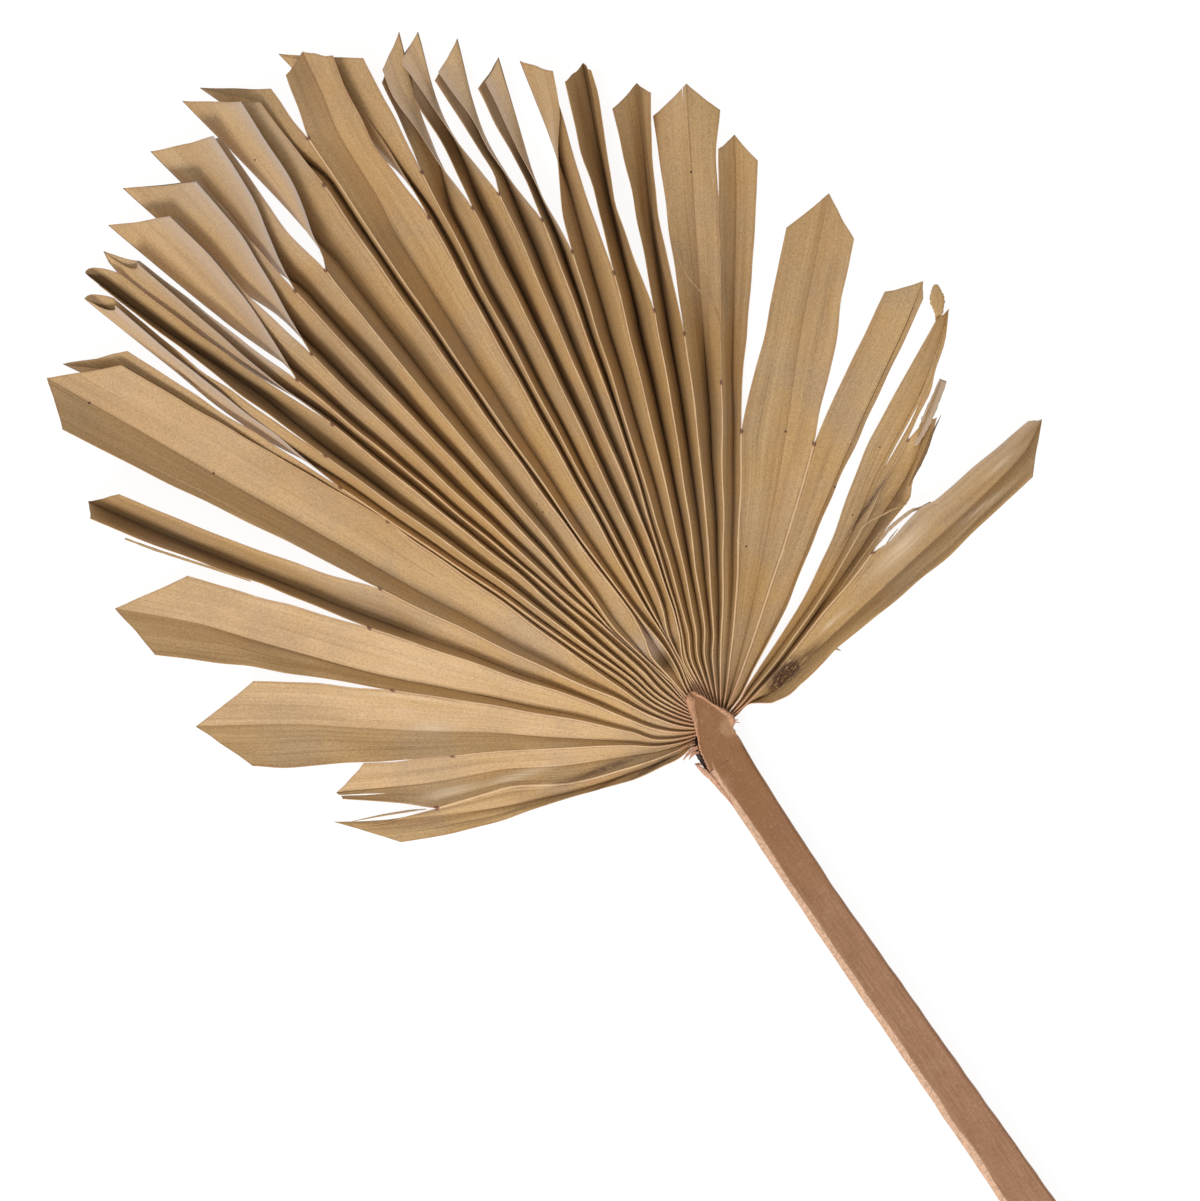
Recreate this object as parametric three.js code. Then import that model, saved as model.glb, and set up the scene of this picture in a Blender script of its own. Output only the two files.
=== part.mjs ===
// A dried fan palm leaf lying on its back: stalk, hastula and a pleated blade of joined segments.
// Millimetres, +Z up, +Y along the stalk towards the tips. Angles are degrees from +Y, clockwise positive,
// and distances are measured from the point where the stalk's middle line meets the blade.
import * as THREE from "three";

// Driving dimensions
const SHEET_THICKNESS = 0.6;
const ROWS = 20; // rows of faces from the hastula to a tip
const ROW_CROWDING = 1.3; // above 1 packs the rows closer near the hastula
const FOLD_GROWTH = 0.11; // width that a panel gains for each mm of distance
const FOLD_WIDTH_AT_BASE = 1;
const FOLD_WIDTH_LIMIT = 17;
const FOLD_MIN_DEPTH = 3;
const FOLD_MAX_STEEPNESS = 3.2; // depth over half the width of a fold
const RIB_HEIGHT_AT_BASE = 6.5;
const RIB_HEIGHT = 2; // midribs lie this far above the ground
const RIB_DESCENT = 70; // distance over which the midribs come down to it

const STALK_LENGTH = 305; // from its cut end to the hastula's tip
const STALK_TIP = 15.2;
const STALK_THICKNESS = 10;
const STALK_FOOT_WIDTH = 7; // flat underside
const HASTULA_THICKNESS = 2.4;
const CLEARANCE = 0.3;

// Where the folds start: around the pointed end of the stalk, from its left side to its right side, as x, y.
const BASE_LINE = [
  [-13.8, -1.2], [-10.9, 2.2], [-9.1, 5], [-7.7, 8.6], [-6.8, 12.2], [-5.7, 16], [-3.7, 17.8],
  [-1, 16.8], [1.6, 13.2], [3.5, 9.5], [5.1, 5.6], [6.8, 2.4], [7.5, 0.6], [7.7, -0.8],
];

// Ridges between neighbouring segments, from left to right. split is the distance at which a ridge opens,
// and path holds distance, angle pairs up to there. The first and last are the blade's own outer edges.
const BLADE_RIDGES = [
  { split: 37, path: [[18, -97], [27, -93], [37, -90]] },
  { split: 112, path: [[25, -86], [40, -82], [62, -78], [87, -73.5], [112, -73.5]] },
  { split: 102, path: [[25, -76], [35, -70], [50, -66.5], [85, -64], [102, -63.8]] },
  { split: 125, path: [[25, -70], [33, -62], [55, -55], [90, -52], [125, -51]] },
  { split: 138, path: [[25, -60], [35, -53], [50, -47.3], [70, -44.7], [100, -42.7], [138, -41.5]] },
  { split: 139, path: [[25, -50], [43, -42], [70, -39], [100, -36.7], [139, -35.2]] },
  { split: 148, path: [[25, -45], [40, -36.7], [70, -30], [100, -27.3], [148, -25.5]] },
  { split: 170, path: [[25, -40], [42, -31.8], [70, -28.3], [100, -26.2], [170, -25]] },
  { split: 181, path: [[25, -36], [38, -29.3], [70, -25.4], [100, -23.7], [181, -22.7]] },
  { split: 186, path: [[25, -32], [38, -26], [70, -21.8], [100, -20.1], [186, -19.2]] },
  { split: 207, path: [[25, -27], [36, -22], [50, -20.1], [100, -18.3], [207, -17.8]] },
  { split: 209, path: [[25, -21], [40, -17.4], [70, -16.7], [100, -16.1], [209, -14.8]] },
  { split: 230, path: [[25, -17.5], [40, -15.8], [50, -16], [70, -14.2], [100, -12.8], [230, -11.4]] },
  { split: 228, path: [[25, -15], [40, -15.2], [50, -14.8], [70, -11.7], [100, -9.8], [228, -7.95]] },
  { split: 254, path: [[27, -13], [35, -12.5], [45, -7.3], [55, -5.3], [100, -4.6], [254, -3.3]] },
  { split: 272, path: [[28, -3.6], [36, -2.4], [50, -3.6], [70, -3.7], [140, -3], [272, -2.1]] },
  { split: 222, path: [[28, 0], [38, 1], [50, 0.7], [70, 1.2], [100, 2.1], [222, 3.2]] },
  { split: 238, path: [[28, 1.2], [38, 2], [50, 2.5], [70, 3.5], [100, 3.9], [238, 4.6]] },
  { split: 217, path: [[28, 2.2], [37, 3], [50, 6.9], [60, 7.8], [100, 7.9], [217, 7.35]] },
  { split: 218, path: [[25, 3], [38, 9.2], [50, 11.3], [70, 12.1], [140, 11], [218, 10.45]] },
  { split: 203, path: [[25, 6], [38, 10.7], [50, 12.8], [70, 13.6], [100, 14.4], [203, 13.6]] },
  { split: 188, path: [[25, 9.5], [38, 14.4], [70, 15.8], [188, 15.6]] },
  { split: 176, path: [[25, 15], [38, 19], [70, 20.3], [176, 19.75]] },
  { split: 159, path: [[25, 20.5], [38, 24.3], [100, 24.5], [159, 23.95]] },
  { split: 149, path: [[25, 27], [35, 29.3], [70, 29.2], [149, 27.75]] },
  { split: 130, path: [[25, 34], [50, 34.4], [100, 33.5], [130, 33.2]] },
  { split: 112, path: [[25, 42], [50, 40.4], [70, 38.8], [112, 37.2]] },
  { split: 113, path: [[25, 55], [50, 53.5], [70, 52.8], [113, 51.6]] },
  { split: 40, path: [[25, 64.5], [40, 63.4]] },
];

// Segments between those ridges. lean is where the midrib runs between its two ridges, 0 left to 1 right,
// near the hastula and at the split. left, rib and right go on from there to the trimmed tip as distance,
// angle pairs, and tops are the heights of their ends. A panel wider than its fold lies over its neighbour.
const BLADE_SEGMENTS = [
  { lean: [0.5, 0.5], tops: [6, 2.5, 4], growth: 0.12,
    left: [[52, -85], [72, -82], [100, -80], [129, -77.3]],
    rib: [[100, -76.4], [151.5, -71.2]],
    right: [[130, -73.5], [143, -72.8]] },
  { lean: [0.5, 0.5], tops: [5, 2, 5],
    left: [[125, -70.8], [146, -68.2]],
    rib: [[130, -67.8], [148, -67.2]],
    right: [[120, -63.6], [136, -63.2]] },
  { lean: [0.4, 0.45], tops: [7, 0.5, 6],
    left: [[140, -63], [165, -62.7], [178, -62.1]],
    rib: [[140, -57.6], [160, -57.1], [199.5, -57.3]],
    right: [[160, -51.3], [178, -51.7]] },
  { lean: [0.4, 0.3], tops: [10, 1, 7],
    left: [[150, -50.4], [185, -50], [216, -50]],
    rib: [[160, -47.5], [180, -46.8], [205, -46.1], [234.5, -46.2]],
    right: [[170, -41.5], [210, -41.4]] },
  { lean: [0.5, 0.5], tops: [15, 3, 15],
    left: [[180, -40], [225, -39.4], [251, -38.9]],
    rib: [[200, -38.6], [255, -37.6]],
    right: [[165, -36.1], [200, -36.3], [244, -36.05]] },
  { lean: [0.35, 0.25], tops: [15, 5, 12],
    left: [[180, -34], [210, -33.6], [273, -32.85]],
    rib: [[165, -31.7], [200, -31], [250, -30.2], [288, -29.8]],
    right: [[200, -25.8], [265, -26.05]] },
  { lean: [0.5, 0.5], tops: [6.7, 1.5, 10],
    left: [[200, -26.4], [240, -27], [272, -27.2]],
    rib: [[180, -26], [230, -27.6], [285.5, -28.3]],
    right: [[200, -24.95], [266, -24.8]] },
  { lean: [0.5, 0.4], tops: [15, 4.5, 9],
    left: [[210, -23.7], [235, -23.3], [279, -22.3]],
    rib: [[205, -24.9], [225, -24.7], [250, -24], [291, -23.2]],
    right: [[230, -22.9], [279, -22.35]] },
  { lean: [0.5, 0.4], tops: [11, 4, 9],
    left: [[220, -22.4], [260, -22], [291, -21.85]],
    rib: [[220, -21.4], [260, -21.7], [296.5, -21.6]],
    right: [[220, -20], [250, -20.2], [285, -20.1]] },
  { lean: [0.5, 0.4], tops: [15, 5, 10],
    left: [[215, -19.4], [250, -18.95], [282, -18.65]],
    rib: [[225, -20.1], [250, -20.4], [290, -19.8]],
    right: [[230, -18.2], [282, -18.4]] },
  { lean: [0.5, 0.4], tops: [15, 4, 9],
    left: [[225, -16.2], [245, -15], [265, -14.4], [284, -14.3]],
    rib: [[225, -17.6], [245, -17.9], [300.5, -17.8]],
    right: [[230, -14.8], [255, -14.4], [282, -14]] },
  { lean: [0.5, 0.4], tops: [14.5, 3.5, 9.5],
    left: [[230, -13.2], [250, -11.8], [268, -11.2], [286, -11]],
    rib: [[228, -14.2], [250, -15], [305.5, -15.1]],
    right: [[250, -11.2], [286, -10.7]] },
  { lean: [0.5, 0.4], tops: [15, 3.5, 9],
    left: [[235, -11.1], [243, -10.5], [252, -9.7], [265, -8.7], [280, -8.1], [294.5, -7.75]],
    rib: [[240, -11.3], [255, -11.8], [307.5, -11.85]],
    right: [[248, -8.3], [262, -8], [280, -7.6], [293, -7.45]] },
  { lean: [0.5, 0.25], tops: [14.5, 3.5, 9.5],
    left: [[233, -7.3], [241, -6.8], [250, -6], [262, -5.3], [275, -5], [298, -4.6]],
    rib: [[241, -6.9], [260, -7.1], [313.5, -7.8]],
    right: [[275, -3.45], [294, -3.5]] },
  { lean: [0.5, 0.5], tops: [7.5, 0.6, 7],
    left: [[275, -3.5], [294, -3.3]],
    rib: [[275, -4.2], [313.5, -6.3]],
    right: [[280, -2.25], [296, -2.25]] },
  { lean: [0.35, 0.35], tops: [17, 8.5, 16],
    left: [[280, -1.6], [296, -0.8]],
    rib: [[240, 0], [265, 0.1], [285, 0.8], [301, 1.15]],
    right: [[230, 2.9], [240, 2.5], [255, 2.2], [280, 2.5], [293, 2.9]] },
  { lean: [0.5, 0.5], tops: [9, 2, 12],
    left: [[240, 3.1], [265, 2.8], [291, 2.3]],
    rib: [[240, 3], [265, 1.2], [306, -0.4]],
    right: [[250, 4.7], [287, 4.8]] },
  { lean: [0.5, 0.55], tops: [11, 4, 13],
    left: [[250, 4.9], [276, 5.2]],
    rib: [[240, 6.5], [259, 6.9], [290, 8.1]],
    right: [[225, 7], [240, 6.35], [255, 5.9], [270, 5.45], [280, 5.7]] },
  { lean: [0.5, 0.55], tops: [12.5, 4, 14.5],
    left: [[230, 7.5], [245, 7.35], [262, 6.95], [279, 6.65]],
    rib: [[240, 8.6], [253, 8.5], [287, 9.4]],
    right: [[225, 9.8], [240, 8.85], [255, 8.2], [280, 7.2]] },
  { lean: [0.5, 0.55], tops: [12.5, 4, 13.5],
    left: [[225, 10.65], [235, 10.3], [250, 9.7], [268, 9.1]],
    rib: [[225, 11.6], [243, 11.2], [279, 12]],
    right: [[211, 12.8], [225, 11.6], [245, 10.8], [270, 9.6]] },
  { lean: [0.5, 0.5], tops: [12.5, 4, 14.5],
    left: [[220, 13.3], [240, 12.6], [259, 12.15]],
    rib: [[215, 14.2], [240, 14.4], [267, 14.6]],
    right: [[200, 15], [215, 14.2], [240, 13.4], [260, 12.9]] },
  { lean: [0.5, 0.4], tops: [14.5, 4, 10],
    left: [[200, 15.8], [212, 16.3], [228, 17.3], [243, 18.4], [256, 18.6]],
    rib: [[210, 17.3], [225, 17], [245, 16.6], [264, 16.2]],
    right: [[190, 19.2], [210, 18.7], [254, 18.3]] },
  { lean: [0.55, 0.5], tops: [13, 4, 13],
    left: [[200, 19.7], [225, 19.35], [251, 19.4]],
    rib: [[205, 21.1], [257.5, 21.3]],
    right: [[172, 23], [190, 22], [205, 21.6], [243, 22], [253, 21.8]] },
  { lean: [0.55, 0.5], tops: [12, 4, 12],
    left: [[190, 23.7], [215, 23.4], [237.5, 23.05]],
    rib: [[190, 25.3], [246.5, 25.6]],
    right: [[165, 27], [190, 26.2], [205, 26], [225, 26.3], [241.5, 26.7]] },
  { lean: [0.55, 0.55], tops: [8.5, 2.5, 7.5],
    left: [[190, 27.1], [233, 26.7]],
    rib: [[150, 30.6], [200, 30.1], [244, 29.95]],
    right: [[180, 33], [215, 32.6], [234, 33]] },
  { lean: [0.6, 0.6], tops: [8, 2.5, 8],
    left: [[152, 33], [200, 32.8], [219, 32.8]],
    rib: [[140, 35], [200, 34.8], [225, 34.4]],
    right: [[130, 36.7], [150, 36.9], [180, 37], [215, 36.8]] },
  { lean: [0.5, 0.5], tops: [5.5, 0.5, 6], growth: 0.13,
    left: [[130, 38.3], [150, 39.5], [170, 40.1], [191, 40.6]],
    rib: [[160, 44.6], [207, 44.6]],
    right: [[128, 50.6], [150, 50], [170, 48.9], [192, 48.4]] },
  { lean: [0.85, 0.9], tops: [7, 3, 4], growth: 0.13,
    left: [[135, 52.3], [155, 53.2], [176.5, 53.8]],
    rib: [[90, 58.6], [130, 58], [165, 58], [186, 57.6]],
    right: [[50, 62.7], [62, 61.3], [75, 60], [90, 59.3], [130, 58.7], [165, 58.6], [180, 58.5]] },
];

// The last two segments, split from the blade right down to the hastula and frayed.
const OUTER_RIDGES = [
  { split: 25, path: [[18, 70], [25, 68.5]] },
  { split: 100, path: [[20, 82], [30, 79.5], [45, 77], [65, 75.5], [100, 74.5]] },
  { split: 35, path: [[13, 87], [18, 95], [22, 100], [27, 100], [35, 96]] },
];
const OUTER_SEGMENTS = [
  { lean: [0.5, 0.5], tops: [7, 3, 5],
    left: [[50, 67], [68, 65.5], [92, 63], [110, 61.3], [125, 60.7], [150, 60.9], [175, 61.1]],
    rib: [[60, 70.5], [90, 68.4], [131, 66], [181, 61.8]],
    right: [[112, 73], [125, 71], [142, 68.6]] },
  { lean: [0.5, 0.5], tops: [5.5, 2.5, 5],
    left: [[113, 75.8], [125, 76.8], [145, 77.8], [165, 78.4]],
    rib: [[50, 84.5], [70, 82.5], [105, 81], [130, 80.3], [169.5, 79.5]],
    right: [[46, 92], [55, 89.5], [75, 88], [105, 86.6], [130, 85.3], [152, 84.5]] },
];

const COLOURS = { blade: 0xb98f5c, stalk: 0x9c6f45, hastula: 0xcf9b78 };

function material(colour, roughness) {
  return new THREE.MeshStandardMaterial({ color: colour, roughness, metalness: 0 });
}

function smoothstep(t) {
  const u = Math.min(1, Math.max(0, t));
  return u * u * (3 - 2 * u);
}

function polar(distance, angle, height) {
  const a = THREE.MathUtils.degToRad(angle);
  return new THREE.Vector3(distance * Math.sin(a), distance * Math.cos(a), height);
}

// A smooth curve through distance, angle pairs that never overshoots between them.
function curveThrough(knots) {
  const slope = knots.map((_, i) => {
    if (i === 0 || i === knots.length - 1) return null;
    const before = (knots[i][1] - knots[i - 1][1]) / (knots[i][0] - knots[i - 1][0]);
    const after = (knots[i + 1][1] - knots[i][1]) / (knots[i + 1][0] - knots[i][0]);
    if (before * after <= 0) return 0;
    return (2 * before * after) / (before + after);
  });
  return (distance) => {
    let i = 0;
    while (i < knots.length - 2 && distance > knots[i + 1][0]) i += 1;
    const [x0, y0] = knots[i];
    const [x1, y1] = knots[i + 1];
    const width = x1 - x0;
    const chord = (y1 - y0) / width;
    const s0 = slope[i] ?? chord;
    const s1 = slope[i + 1] ?? chord;
    const t = Math.min(1, Math.max(0, (distance - x0) / width));
    const bend = (s0 - chord) * (1 - t) - (s1 - chord) * t;
    return y0 + chord * width * t + bend * width * t * (1 - t);
  };
}

// The point a share of the way along the line where the folds start, as distance and angle.
function baseAt(share) {
  const points = BASE_LINE.map(([x, y]) => new THREE.Vector3(x, y, 0));
  const p = new THREE.CatmullRomCurve3(points, false, "centripetal").getPointAt(share);
  return [Math.hypot(p.x, p.y), THREE.MathUtils.radToDeg(Math.atan2(p.x, p.y))];
}

function ribHeight(distance) {
  const t = smoothstep((distance - 12) / RIB_DESCENT);
  return RIB_HEIGHT_AT_BASE + (RIB_HEIGHT - RIB_HEIGHT_AT_BASE) * t;
}

// How deep a fold is when its panels keep their width while its ridges stand this far apart.
function foldDepth(distance, degrees, growth = FOLD_GROWTH) {
  const half = (distance * THREE.MathUtils.degToRad(degrees)) / 2;
  const width = Math.min(FOLD_WIDTH_LIMIT, FOLD_WIDTH_AT_BASE + growth * distance);
  const depth = Math.sqrt(Math.max(0, width * width - half * half));
  return Math.min(FOLD_MAX_STEEPNESS * half, Math.max(FOLD_MIN_DEPTH, depth));
}

// The height of each ridge while joined: its midribs' height and the mean depth of the folds beside it.
function ridgeHeight(ridges, segments, index, distance) {
  const depths = [];
  for (const side of [index - 1, index]) {
    if (side < 0 || side >= segments.length) continue;
    const width = ridges[side + 1].angle(distance) - ridges[side].angle(distance);
    depths.push(foldDepth(distance, width, segments[side].growth));
  }
  const mean = depths.reduce((a, b) => a + b, 0) / depths.length;
  return ribHeight(distance) + mean;
}

// Rows run the same share of the way along every line, so that faces stay square.
function rowShare(row) {
  return Math.pow(row / ROWS, ROW_CROWDING);
}

function lineRows(from, split, end, splitRow) {
  const rows = [];
  for (let row = 0; row <= ROWS; row += 1) {
    const share = rowShare(row);
    const turn = rowShare(splitRow);
    if (row <= splitRow) rows.push(from + (split - from) * (share / turn));
    else rows.push(split + (end - split) * ((share - turn) / (1 - turn)));
  }
  return rows;
}

// One edge of a segment, row by row: along its ridge up to the split, then along its own free edge.
function edgePoints(ridges, segments, index, free, top) {
  const ridge = ridges[index];
  const end = free[free.length - 1][0];
  const onwards = curveThrough([[ridge.split, ridge.angle(ridge.split)], ...free]);
  const splitHeight = ridgeHeight(ridges, segments, index, ridge.split);
  return lineRows(ridge.base[0], ridge.split, end, ridge.splitRow).map((distance, row) => {
    if (row <= ridge.splitRow) {
      const height = ridgeHeight(ridges, segments, index, distance);
      return polar(distance, ridge.angle(distance), height);
    }
    const t = (distance - ridge.split) / (end - ridge.split);
    return polar(distance, onwards(distance), splitHeight + (top - splitHeight) * t);
  });
}

function ribPoints(ridges, segment, index, top) {
  const [left, right] = [ridges[index], ridges[index + 1]];
  const free = segment.rib;
  const from = (left.base[0] + right.base[0]) / 2;
  const split = Math.min(left.split, right.split, free[0][0] - 5);
  const end = free[free.length - 1][0];
  const inside = (distance) => {
    const t = smoothstep(distance / split);
    const lean = segment.lean[0] + (segment.lean[1] - segment.lean[0]) * t;
    const a = left.angle(distance);
    return a + (right.angle(distance) - a) * lean;
  };
  const onwards = curveThrough([[split - 12, inside(split - 12)], [split, inside(split)], ...free]);
  const rows = [];
  for (let row = 0; row <= ROWS; row += 1) {
    const distance = from + (end - from) * rowShare(row);
    if (distance <= split) {
      rows.push(polar(distance, inside(distance), ribHeight(distance)));
    } else {
      const t = (distance - split) / (end - split);
      const height = ribHeight(split) + (top - ribHeight(split)) * t;
      rows.push(polar(distance, onwards(distance), height));
    }
  }
  return rows;
}

// Every ridge gets its base point, its angle curve and the row at which it splits.
function prepareRidges(table, segments, fromShare, toShare) {
  const ridges = table.map((entry, i) => {
    const base = baseAt(fromShare + ((toShare - fromShare) * i) / (table.length - 1));
    return { ...entry, base, angle: curveThrough([base, ...entry.path]) };
  });
  ridges.forEach((ridge, i) => {
    const beside = [segments[i - 1], segments[i]].filter((s) => s !== undefined);
    const ends = beside.map((s) => s.rib[s.rib.length - 1][0]);
    const reach = ends.reduce((a, b) => a + b, 0) / ends.length;
    const share = (ridge.split - ridge.base[0]) / (reach - ridge.base[0]);
    const row = Math.round(ROWS * Math.pow(share, 1 / ROW_CROWDING));
    ridge.splitRow = Math.min(ROWS - 1, Math.max(1, row));
  });
  return ridges;
}

// The folded sheet without thickness: neighbours share their points along a ridge up to its split.
function foldedSheet(table, segments, fromShare, toShare) {
  const ridges = prepareRidges(table, segments, fromShare, toShare);
  const points = [];
  const faces = [];
  const add = (list) => list.map((p) => points.push(p) - 1);
  let shared = null;
  segments.forEach((segment, i) => {
    const [leftTop, ribTop, rightTop] = segment.tops;
    const leftPoints = edgePoints(ridges, segments, i, segment.left, leftTop);
    const joined = shared ? ridges[i].splitRow : -1;
    const left = add(leftPoints.slice(joined + 1));
    if (shared) left.unshift(...shared.slice(0, joined + 1));
    const rib = add(ribPoints(ridges, segment, i, ribTop));
    const right = add(edgePoints(ridges, segments, i + 1, segment.right, rightTop));
    for (let row = 0; row < ROWS; row += 1) {
      for (const [a, b] of [[left, rib], [rib, right]]) {
        faces.push([a[row], b[row], b[row + 1]]);
        faces.push([a[row], b[row + 1], a[row + 1]]);
      }
    }
    shared = right;
  });
  return { points, faces };
}

// Gives a sheet its thickness: both faces are moved half of it along the mean normal, mitred at folds,
// and the rim is closed with a strip.
function thicken({ points, faces }, thickness) {
  const normals = points.map(() => []);
  for (const [a, b, c] of faces) {
    const n = new THREE.Vector3().subVectors(points[b], points[a]);
    n.cross(new THREE.Vector3().subVectors(points[c], points[a])).normalize();
    for (const i of [a, b, c]) normals[i].push(n);
  }
  const offset = normals.map((list) => {
    const mean = list.reduce((sum, n) => sum.add(n), new THREE.Vector3()).normalize();
    const least = Math.min(...list.map((n) => n.dot(mean)));
    return mean.multiplyScalar(thickness / 2 / Math.max(0.3, least));
  });
  const positions = [];
  for (const p of points.map((q, i) => q.clone().add(offset[i]))) positions.push(p.x, p.y, p.z);
  for (const p of points.map((q, i) => q.clone().sub(offset[i]))) positions.push(p.x, p.y, p.z);
  const under = points.length;
  const edges = new Set(faces.flatMap(([a, b, c]) => [`${a} ${b}`, `${b} ${c}`, `${c} ${a}`]));
  const index = [];
  for (const [a, b, c] of faces) {
    index.push(a, b, c, under + a, under + c, under + b);
  }
  for (const edge of edges) {
    const [a, b] = edge.split(" ").map(Number);
    if (edges.has(`${b} ${a}`)) continue;
    index.push(a, under + a, under + b, a, under + b, b);
  }
  const geometry = new THREE.BufferGeometry();
  geometry.setAttribute("position", new THREE.Float32BufferAttribute(positions, 3));
  geometry.setIndex(index);
  return geometry;
}

// A solid from closed outlines of equal length, one after another, capped at both ends.
function loft(sections) {
  const count = sections[0].length;
  const positions = sections.flat(2);
  const index = [];
  for (let s = 0; s < sections.length - 1; s += 1) {
    for (let i = 0; i < count; i += 1) {
      const [a, b] = [s * count + i, s * count + ((i + 1) % count)];
      index.push(a, b, b + count, a, b + count, a + count);
    }
  }
  const last = (sections.length - 1) * count;
  for (let i = 1; i < count - 1; i += 1) {
    index.push(0, i + 1, i, last, last + i, last + i + 1);
  }
  const geometry = new THREE.BufferGeometry();
  geometry.setAttribute("position", new THREE.Float32BufferAttribute(positions, 3));
  geometry.setIndex(index);
  return geometry;
}

// The stalk bends a little and narrows to a blunt point under the hastula. Each station is y, left, right.
function stalkGeometry() {
  const stations = [
    [STALK_TIP - STALK_LENGTH, -6.5, 11.6], [-215, -8.6, 9], [-160, -9.7, 6.6], [-110, -11.1, 4.6],
    [-70, -11.9, 3.1], [-35, -12.4, 3], [-14, -12.8, 3.6], [-4, -11.2, 4.4], [0, -10.5, 5],
    [2.4, -9.4, 5], [5, -8, 3.8], [9, -6.3, 2.2], [13, -5.1, 0.3], [STALK_TIP, -4.4, -1],
  ];
  const sections = stations.map(([y, left, right]) => {
    const middle = (left + right) / 2;
    const half = (right - left) / 2;
    const foot = Math.min(STALK_FOOT_WIDTH / 2, half * 0.43);
    // From the flat foot round the left side, over the flat top with its worn edges, and down the right.
    const profile = [
      [-foot, 0], [-0.68 * half, 1.1], [-0.92 * half, 3.4], [-half, 6.4], [-half, 9],
      [-half * 0.93, STALK_THICKNESS], [half * 0.93, STALK_THICKNESS],
      [half, 9], [half, 6.4], [0.92 * half, 3.4], [0.68 * half, 1.1], [foot, 0],
    ];
    return profile.map(([x, z]) => [middle + x, y, z]);
  });
  return loft(sections);
}

// The hastula: a low tongue on the stalk's pointed end, bevelled round its top.
function hastulaGeometry() {
  const outline = [
    [-10.4, -3.4], [5, -3.2], [6.7, -0.7], [6.4, 1.3], [4.3, 5], [2.5, 9.4], [0.9, 13.4],
    [-0.9, 16], [-2.6, 16.7], [-4.2, 16.1], [-5.6, 13.8], [-6.5, 9.7], [-8, 6], [-8.9, 1.9],
  ];
  const bottom = STALK_THICKNESS + CLEARANCE;
  const layers = [[1, 0], [1, 0.6], [0.88, 1]];
  const sections = layers.map(([scale, up]) =>
    outline.map(([x, y]) => [-2 + (x + 2) * scale, 5 + (y - 5) * scale, bottom + HASTULA_THICKNESS * up]));
  return loft(sections);
}

function leaf() {
  const group = new THREE.Group();
  group.name = "fan_palm_leaf";
  const add = (name, geometry, look) => {
    const mesh = new THREE.Mesh(geometry, look);
    mesh.name = name;
    geometry.computeVertexNormals();
    group.add(mesh);
  };
  const bladeLook = material(COLOURS.blade, 0.62);
  add("petiole", stalkGeometry(), material(COLOURS.stalk, 0.6));
  add("hastula", hastulaGeometry(), material(COLOURS.hastula, 0.7));
  const blade = foldedSheet(BLADE_RIDGES, BLADE_SEGMENTS, 0, 0.92);
  add("blade", thicken(blade, SHEET_THICKNESS), bladeLook);
  const outer = foldedSheet(OUTER_RIDGES, OUTER_SEGMENTS, 0.945, 1);
  add("outer_segments", thicken(outer, SHEET_THICKNESS), bladeLook);
  return group;
}

// The origin goes to the middle of the footprint, on the ground.
function centred(group) {
  const box = new THREE.Box3().setFromObject(group);
  const shift = box.getCenter(new THREE.Vector3());
  for (const mesh of group.children) {
    mesh.geometry.translate(-shift.x, -shift.y, -box.min.z);
  }
  return group;
}

export default centred(leaf());
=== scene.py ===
"""A dried fan palm leaf, cut from its plant, lying face up on a pale floor.

Shapes are worked out in millimetres in the leaf's own frame: the origin is where the stalk's middle line
meets the blade, +Y runs towards the tips and +Z is up. A place on the blade is a distance from that origin
and an angle in degrees from +Y, clockwise positive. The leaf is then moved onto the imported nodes, in metres.
"""

import math

import bpy
import numpy as np
from mathutils import Matrix, Vector


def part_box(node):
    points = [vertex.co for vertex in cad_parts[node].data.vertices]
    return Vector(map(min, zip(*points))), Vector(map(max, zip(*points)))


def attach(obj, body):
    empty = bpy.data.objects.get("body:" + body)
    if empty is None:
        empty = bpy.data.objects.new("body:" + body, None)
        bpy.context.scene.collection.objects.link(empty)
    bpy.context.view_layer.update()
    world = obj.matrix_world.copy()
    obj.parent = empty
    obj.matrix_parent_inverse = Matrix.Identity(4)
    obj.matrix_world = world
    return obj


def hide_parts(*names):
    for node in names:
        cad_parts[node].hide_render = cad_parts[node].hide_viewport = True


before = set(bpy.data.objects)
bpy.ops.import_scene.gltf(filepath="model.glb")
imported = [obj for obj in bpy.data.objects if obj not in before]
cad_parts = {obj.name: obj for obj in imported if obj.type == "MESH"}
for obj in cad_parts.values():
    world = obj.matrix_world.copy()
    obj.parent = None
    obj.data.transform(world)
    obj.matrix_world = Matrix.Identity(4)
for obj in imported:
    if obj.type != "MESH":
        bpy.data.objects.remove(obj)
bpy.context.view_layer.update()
stalk_low, stalk_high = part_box("petiole")

MM = 0.001
ROWS = 76  # rows of faces from the hastula to a tip
ROW_CROWDING = 1.18  # above 1, the rows lie closer together near the hastula
# Shares of a panel's width, from its ridge down to its midrib, at which its columns of points stand.
COLUMNS = [0, 0.035, 0.08, 0.15, 0.25, 0.37, 0.5, 0.63, 0.76, 0.88, 0.96, 1]

SHEET_THICKNESS = 0.42
FOLD_GROWTH = 0.11  # width that a panel gains for each mm of distance
FOLD_WIDTH_AT_BASE = 1
FOLD_WIDTH_LIMIT = 17
FOLD_MIN_DEPTH = 3
FOLD_MAX_STEEPNESS = 3.2  # depth over half the width of a fold
RIB_HEIGHT_AT_BASE = 6.5
RIB_HEIGHT = 2  # midribs lie this far above the floor
RIB_DESCENT_START = 12  # distance at which the midribs start to come down to it
RIB_DESCENT = 70  # distance over which they do
TUCK = 1.6  # the folds start this far in, under the hastula
RIDGE_CORD = 0.2  # how far the cord along a ridge stands up
RIDGE_WOBBLE = 0.22  # how far a ridge strays to either side
FREE_EDGE_WOBBLE = 0.3  # the same for the free edge beyond its split
FREE_EDGE_WAVE = 0.5  # how far that edge waves up and down
PANEL_SWELL = 0.3  # height of a panel's broad swells
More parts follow.
